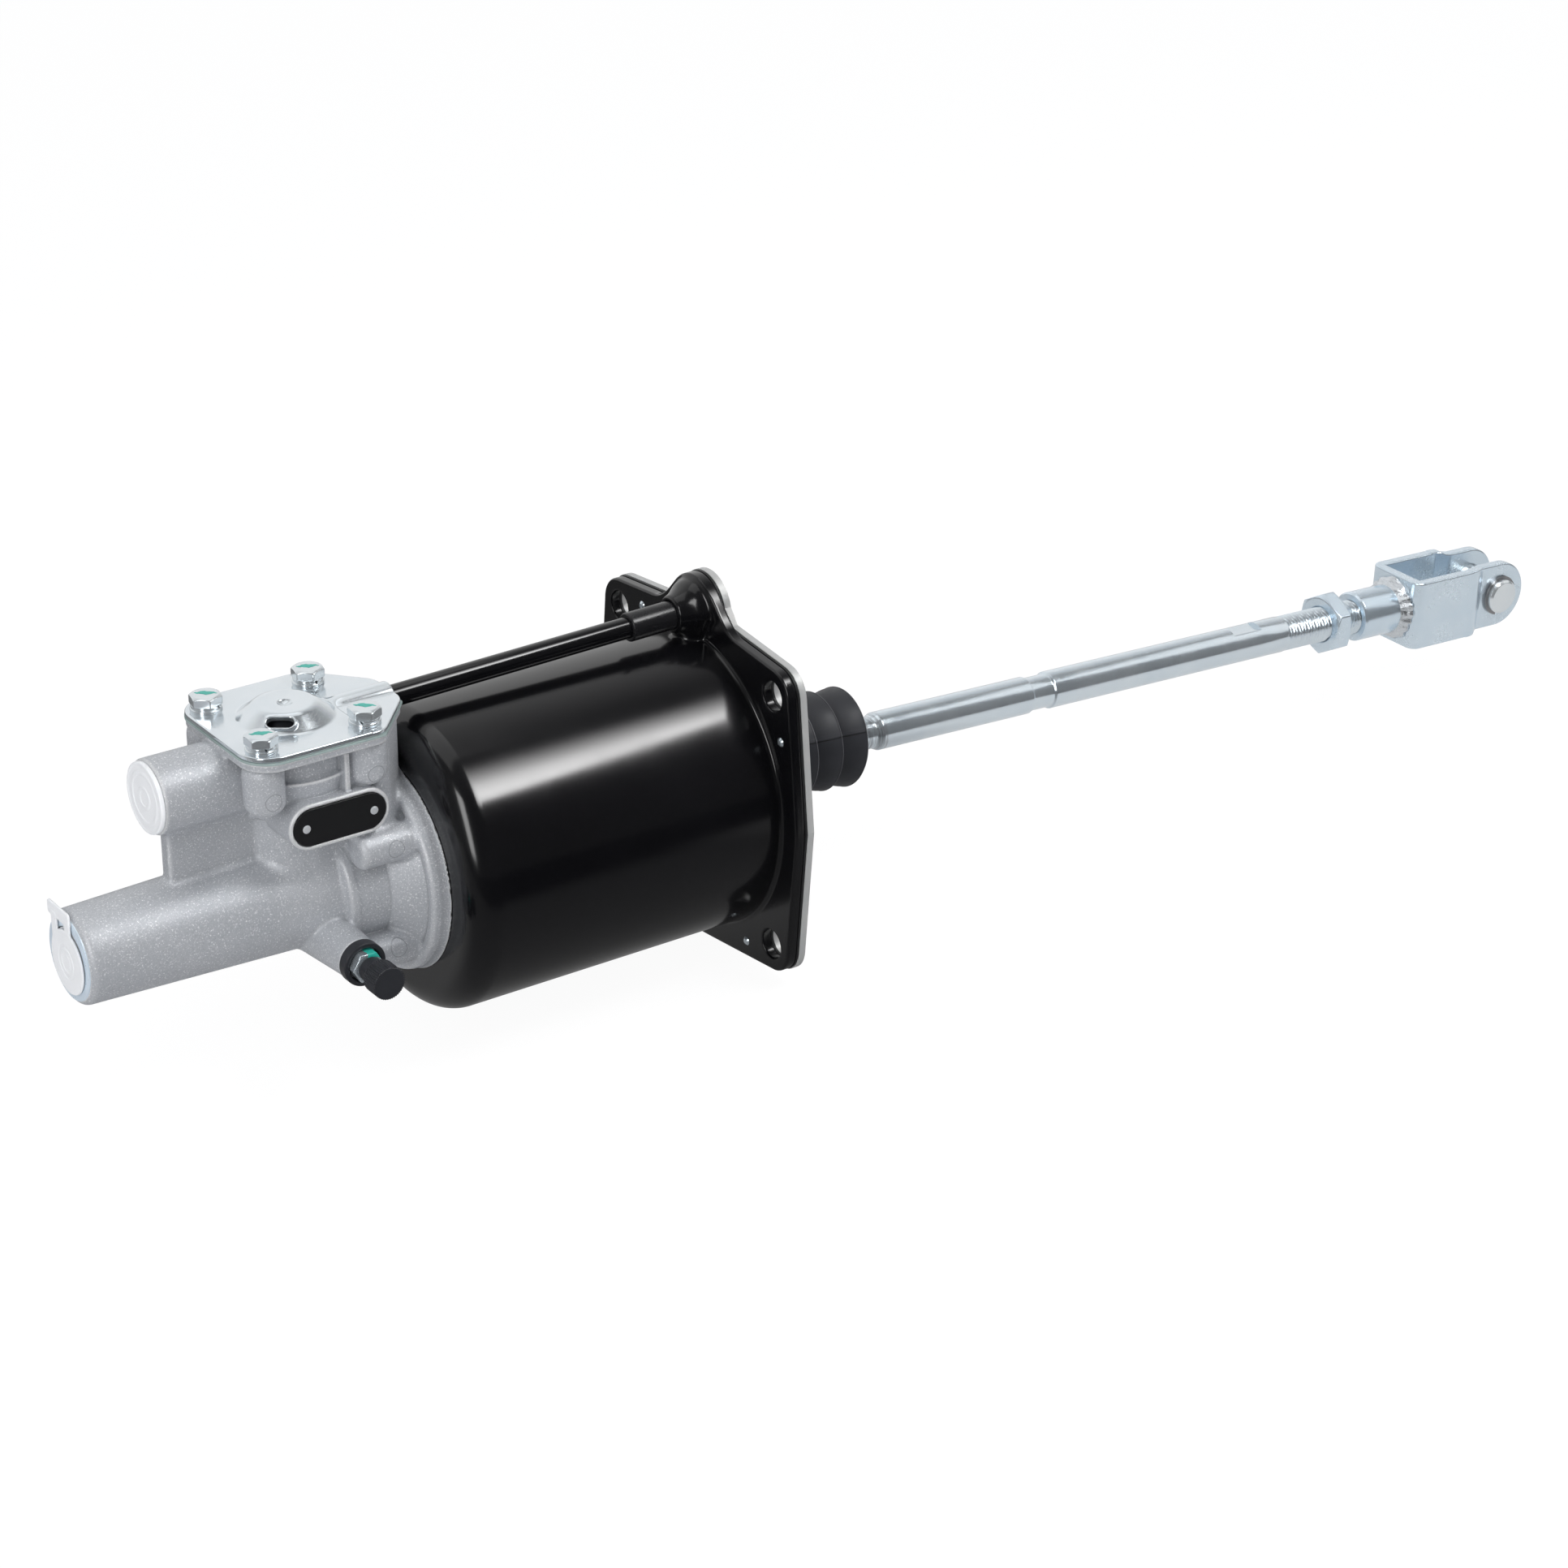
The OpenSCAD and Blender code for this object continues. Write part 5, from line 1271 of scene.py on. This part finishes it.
def boot_seam(x, r, angles):
    """Radii of a ring with the fine moulding seam along both sides."""
    away = np.abs((angles - BOOT_SEAM_TURN + math.pi / 2) % math.pi - math.pi / 2)
    return r + 0.22 * np.clip(1 - away / 0.03, 0, 1)


def boot_walls(start, end):
    """Outer and inner profile of the folds between two places."""
    steps = np.arange(start, end + 0.01, 0.2)
    return ([(x, boot_outside(x)) for x in steps],
            [(x, boot_outside(x) - BOOT_WALL) for x in steps[::-2]])


def add_boot():
    """The dust boot in two meshes that meet in a valley."""
    last_crest = LAST_FOLD + 0.6
    bead = [(0.8, 15.0), (0.8, 17.6), (1.2, 18.0), (3.2, 18.0), (3.8, 17.4)]
    outside, inside = boot_walls(FIRST_FOLD - 0.72 * FOLD_PITCH, BOOT_SEAM)
    near = bead + outside + inside + [(4.2, 15.0), (0.8, 15.0)]
    outside, inside = boot_walls(BOOT_SEAM, last_crest)
    end = filleted([(last_crest, boot_outside(last_crest), 0), (56.6, 16.9, 0.5), (57.4, 10.0, 1.0),
                    (58.8, 8.5, 0.8), (63.0, 8.4, 0.6), (63.1, 6.3, 0)])
    far = outside + end[1:] + [(58.9, 6.3), (58.8, 7.6), (56.4, 7.6), (55.6, 15.6)] + inside[6:]
    near_obj, far_obj = (turned(name, profile, sides=144, sharp=50, wave=boot_seam,
                                centre=boot_centre)
                         for name, profile in (("boot_near", near), ("boot_far", far)))
    for obj in (near_obj, far_obj):
        finish_piece(obj, None, "black_rubber", "rubber_boot", look=BOOT_RUBBER)
    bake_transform(near_obj)
    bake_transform(far_obj)


# Push rod

ROD_R = 7.05
FLAT_S = 259.0
FLAT_W = 13.7
THREAD_S = 284.9
ROD_END_S = 345.0
THREAD_PITCH = 1.5
THREAD_R = 6.9
THREAD_HOLE_R = 6.97
NUT_S = 307.2
NUT_T = 7.0
NUT_MID = NUT_S + NUT_T / 2


def thread_wave(x, r, angles):
    """Radii of a ring on the thread, and of the spanner flat."""
    if FLAT_S < x < FLAT_S + FLAT_W:
        rise = np.maximum(np.sin(angles), 1e-3)
        return np.minimum(r, np.where(rise > 0.5, (ROD_R - 1.3) / rise, r))
    if THREAD_S + 1.2 < x < ROD_END_S - 1.5:
        phase = (x / THREAD_PITCH + angles / (2 * math.pi)) % 1
        return r - 0.85 * np.clip(1.15 * np.abs(2 * phase - 1) - 0.08, 0, 1)
    return np.full_like(angles, r)


def add_push_rod():
    """The whole rod: ball, narrow seat, groove, spanner flat and thread."""
    ball = [(-9.5 * math.cos(a), 9.5 * math.sin(a)) for a in np.linspace(0, 2.4, 20)]
    body = filleted([(9, 6.4, 0), (26, 6.4, 0.5), (27, ROD_R, 0.5), (75.7, ROD_R, 0.3),
                     (76.5, 5.9, 0.3), (87, 5.9, 0.6), (89.6, ROD_R, 0.8), (158.7, ROD_R, 0.4),
                     (159.3, 6.3, 0.4), (168.8, 6.3, 0.4), (169.4, ROD_R, 0.4),
                     (FLAT_S, ROD_R, 0)])
    flat = [(x, ROD_R) for x in (FLAT_S + 0.02, FLAT_S + FLAT_W - 0.02, FLAT_S + FLAT_W)]
    thread = [(x, THREAD_R) for x in np.arange(THREAD_S + 0.8, ROD_END_S - 1.4, 0.16)]
    tail = [(THREAD_S, ROD_R), (THREAD_S + 0.6, THREAD_R)] + thread
    tail += [(ROD_END_S, 5.4), (ROD_END_S, 0)]
    obj = turned("rod", ball + body + flat + tail, ROD, sides=80, sharp=40, wave=thread_wave)
    finish_piece(obj, "rod", "bright_zinc", "push_rod", look=ROD_ZINC)


def nut_field(g):
    """Thin hexagon nut with a chamfer on both faces."""
    x, y, z = g
    rho = np.hypot(y, z)
    body = capped(span(x, NUT_S, NUT_S + NUT_T), hexagon_2d(y, z, 22, 0.4), 0.25)
    for face in (-1, 1):
        chamfer = rho - 10.7 + (face * (x - NUT_MID) - NUT_T / 2) * 1.73
        body = both(body, chamfer / 2, 0.3)
    return cut(body, np.maximum(rho - THREAD_HOLE_R, span(x, 300, 320)), 0.7)


def add_nut():
    """The lock nut."""
    across = lines(-13.2, 0.25, 13.2)
    obj = field_object("nut", nut_field, lines(NUT_S - 0.6, 0.22, NUT_S + NUT_T + 0.6),
                       across, across, place=ROD)
    finish_piece(obj, "nut", "bright_zinc", "lock_nut", look=CLEVIS_ZINC)


# Clevis

NECK_S = 323.4
FORK_S = 345.8
FORK_T = 4.2
FORK_Y = 14.0
EAR_Y = 11.0
EAR_ROUND = 13.3
JOG_S = 378.5
JOG_W = 4.5
PIN_S = 394.2


def add_clevis_neck():
    """Tube with a turned ring at its end."""
    profile = filleted([(NECK_S, THREAD_HOLE_R, 0), (NECK_S, 9.2, 0.2), (NECK_S + 0.9, 9.8, 0.3),
                        (FORK_S, 9.8, 0.1), (FORK_S, THREAD_HOLE_R, 0.1),
                        (NECK_S, THREAD_HOLE_R, 0)])
    finish_piece(turned("clevis_tube", profile, ROD), "clevis", "bright_zinc", "clevis_neck",
                 look=CLEVIS_ZINC)


def strip_distance(u, v, points):
    """Distance to a line through points in the plane."""
    best = None
    for (ax, ay), (bx, by) in zip(points, points[1:]):
        dx, dy = bx - ax, by - ay
        t = np.clip(((u - ax) * dx + (v - ay) * dy) / (dx * dx + dy * dy + 1e-9), 0, 1)
        d = np.hypot(u - ax - t * dx, v - ay - t * dy)
        best = d if best is None else np.minimum(best, d)
    return best


def fork_field(g):
    """U of bent plate, its side plates stepped inwards to round ears."""
    s, y, z = g
    half = FORK_T / 2
    middle = filleted([(FORK_S + half, 0, 0), (FORK_S + half, FORK_Y - half, 2.2),
                       (JOG_S, FORK_Y - half, 5), (JOG_S + JOG_W, EAR_Y - half, 5),
                       (PIN_S + EAR_ROUND + 3, EAR_Y - half, 0)], 4)
    plan = strip_distance(s, np.abs(y), middle) - half
    back = box_2d(s - (FORK_S + JOG_S) / 2, z, (JOG_S - FORK_S) / 2 + 2, 14.0, 1.2)
    ear = np.hypot(np.maximum(s - PIN_S, 0), z) - EAR_ROUND
    ear = both(ear, JOG_S - 2 - s)
    side = join(back, ear, 1.5)
    body = capped(plan, side, 0.7)
    pin = np.hypot(s - PIN_S, z) - 7.08
    return cut(body, pin, 0.4)


def add_fork():
    """Stamped and bent clevis fork."""
    across = lines(-14.8, 0.32, 14.8)
    obj = field_object("fork", fork_field, lines(FORK_S - 0.8, 0.32, PIN_S + 14.2),
                       across, across, place=ROD)
    finish_piece(obj, "clevis", "bright_zinc", "clevis_fork", look=CLEVIS_ZINC)


def weld_wave(x, r, angles):
    """Radii of the weld's bead, rippled and uneven."""
    ripple = 0.28 * np.sin(angles * 17 + 3 * np.sin(angles * 2)) + 0.35 * np.sin(angles * 5 + x)
    return r + ripple * min(1, max(0, (r - 9.9) / 1.2))


def add_weld():
    """Weld bead between the tube and the fork's back."""
    profile = filleted([(FORK_S - 4.2, 9.7, 0), (FORK_S - 3.2, 10.6, 1.0),
                        (FORK_S - 1.2, 12.3, 1.5), (FORK_S, 12.6, 0.3), (FORK_S, 9.7, 0),
                        (FORK_S - 4.2, 9.7, 0)], 6)
    obj = turned("weld", profile, ROD, sides=160, sharp=60, wave=weld_wave)
    finish_piece(obj, "clevis", "bright_zinc", "clevis_weld", look=WELD_ZINC)


def add_pin():
    """Clevis pin with its head on the far side and a chamfered near end."""
    tip = EAR_Y + 3.5
    profile = filleted([(-EAR_Y - 3, 0, 0), (-EAR_Y - 3, 9.6, 0.5), (-EAR_Y - 2.6, 10, 0.3),
                        (-EAR_Y - 0.05, 10, 0.3), (-EAR_Y - 0.05, 7, 0.2), (EAR_Y + 0.05, 7, 0),
                        (EAR_Y + 0.05, 6.0, 0), (EAR_Y + 1.1, 6.0, 0), (EAR_Y + 1.1, 7, 0.15),
                        (tip - 0.9, 7, 0.3), (tip, 6.1, 0.4), (tip, 0, 0)])
    place = ROD @ Matrix.Translation((PIN_S, 0, 0)) @ Matrix.Rotation(math.radians(-90), 4, "Z")
    finish_piece(turned("pin", profile, place), "pin", "bright_zinc", "clevis_pin",
                 look=BOLT_ZINC)


# Bleed screw and its cap

def bleed_axes(g):
    """Coordinates along the bleed screw's axis from the boss's face, and across it."""
    return -(g[1] + BLEED_FACE), g[0] - BLEED_X, g[2] - BLEED_Z


def bleed_screw_field(g):
    """Hexagon, nipple and threaded shank."""
    w, u, v = bleed_axes(g)
    rho = np.hypot(u, v)
    head = capped(span(w, 0.6, 6.6), hexagon_2d(v, u, 10, 0.3), 0.2)
    head = both(head, (rho - 5.1 + (w - 6.6) * 1.73) / 2, 0.2)
    body = join(head, capped(span(w, -15, 1), rho - 3.95, 0.2), 0.2)
    return join(body, capped(span(w, -1, 12.6), rho - 3.1, 0.4), 0.4)


def bleed_cap_field(g):
    """Strap ring, strap, sleeve and knurled knob of the rubber cap."""
    w, u, v = bleed_axes(g)
    rho = np.hypot(u, v)
    ring = capped(span(w, 0, 4.2), np.abs(rho - 6.85) - 0.85, 0.5)
    strap = capped(np.abs((u - v) * 0.7071 - 6.6) - 0.9,
                   capped(span(w, 1.0, 9.6), np.abs((u + v) * 0.7071) - 2.0, 0.5), 0.4)
    body = join(ring, strap, 1.0)
    sleeve = capped(span(w, 7, 14), rho - 4.3, 0.5)
    link = box_2d((u - v) * 0.7071 - 4, (u + v) * 0.7071, 3.4, 2.0, 0.5)
    link = capped(span(w, 7.2, 9.4), link, 0.4)
    body = join(body, join(sleeve, link, 0.8), 0.8)
    ridge = 0.14 * np.cos(44 * np.arctan2(v, u))
    knob = capped(span(w, 12.5, 20), rho - 5.75 - ridge * np.clip((rho - 4.6) / 1.0, 0, 1), 0.6)
    body = join(body, knob * 0.9, 0.8)
    return cut(body, capped(span(w, 5, 13.6), rho - 3.3, 0.2))


def add_bleeder():
    """Bleed screw with its rubber cap and a dab of paint."""
    axes = (lines(BLEED_X - 8.6, 0.26, BLEED_X + 8.6),
            lines(-BLEED_FACE - 21, 0.26, -BLEED_FACE + 16),
            lines(BLEED_Z - 8.6, 0.26, BLEED_Z + 8.6))
    obj = field_object("bleed_screw_body", bleed_screw_field, *axes)
    finish_piece(obj, "bleeder", "bright_zinc", "bleed_screw", look=MARKED_ZINC)
    obj = field_object("bleed_cap_rubber", bleed_cap_field, *axes)
    finish_piece(obj, "cap", "black_rubber", "bleed_cap")


# Build

for add in (add_casting, add_insert, add_air_plug, add_hydraulic_plug, add_valve_cover,
            add_cover_bolts, add_name_plate, add_cylinder, add_flange_rivets, add_pipe,
            add_hose, add_boot, add_push_rod, add_nut, add_clevis_neck, add_fork, add_weld,
            add_pin, add_bleeder):
    add()


# Every CAD node that still shows gets its slot's material, or a look of its own from NODE_LOOKS

NODE_LOOKS = {"end_plate": PLATE_STEEL, "flange_gasket": GASKET_BLACK}


def dress_nodes():
    """The record's slots, as materials on the CAD nodes."""
    for part in frame["record"]["subparts"]:
        obj = nodes[part["node"]]
        if obj.hide_render:
            continue
        obj.data.materials.clear()
        obj.data.materials.append(NODE_LOOKS.get(part["node"], LOOKS[part["material_slot"]]))
        obj.data.shade_smooth()
        obj.data.set_sharp_from_angle(angle=math.radians(30))


dress_nodes()
add_camera()
add_floor()
add_world()
add_lights()
bpy.context.scene.view_settings.view_transform = "Standard"
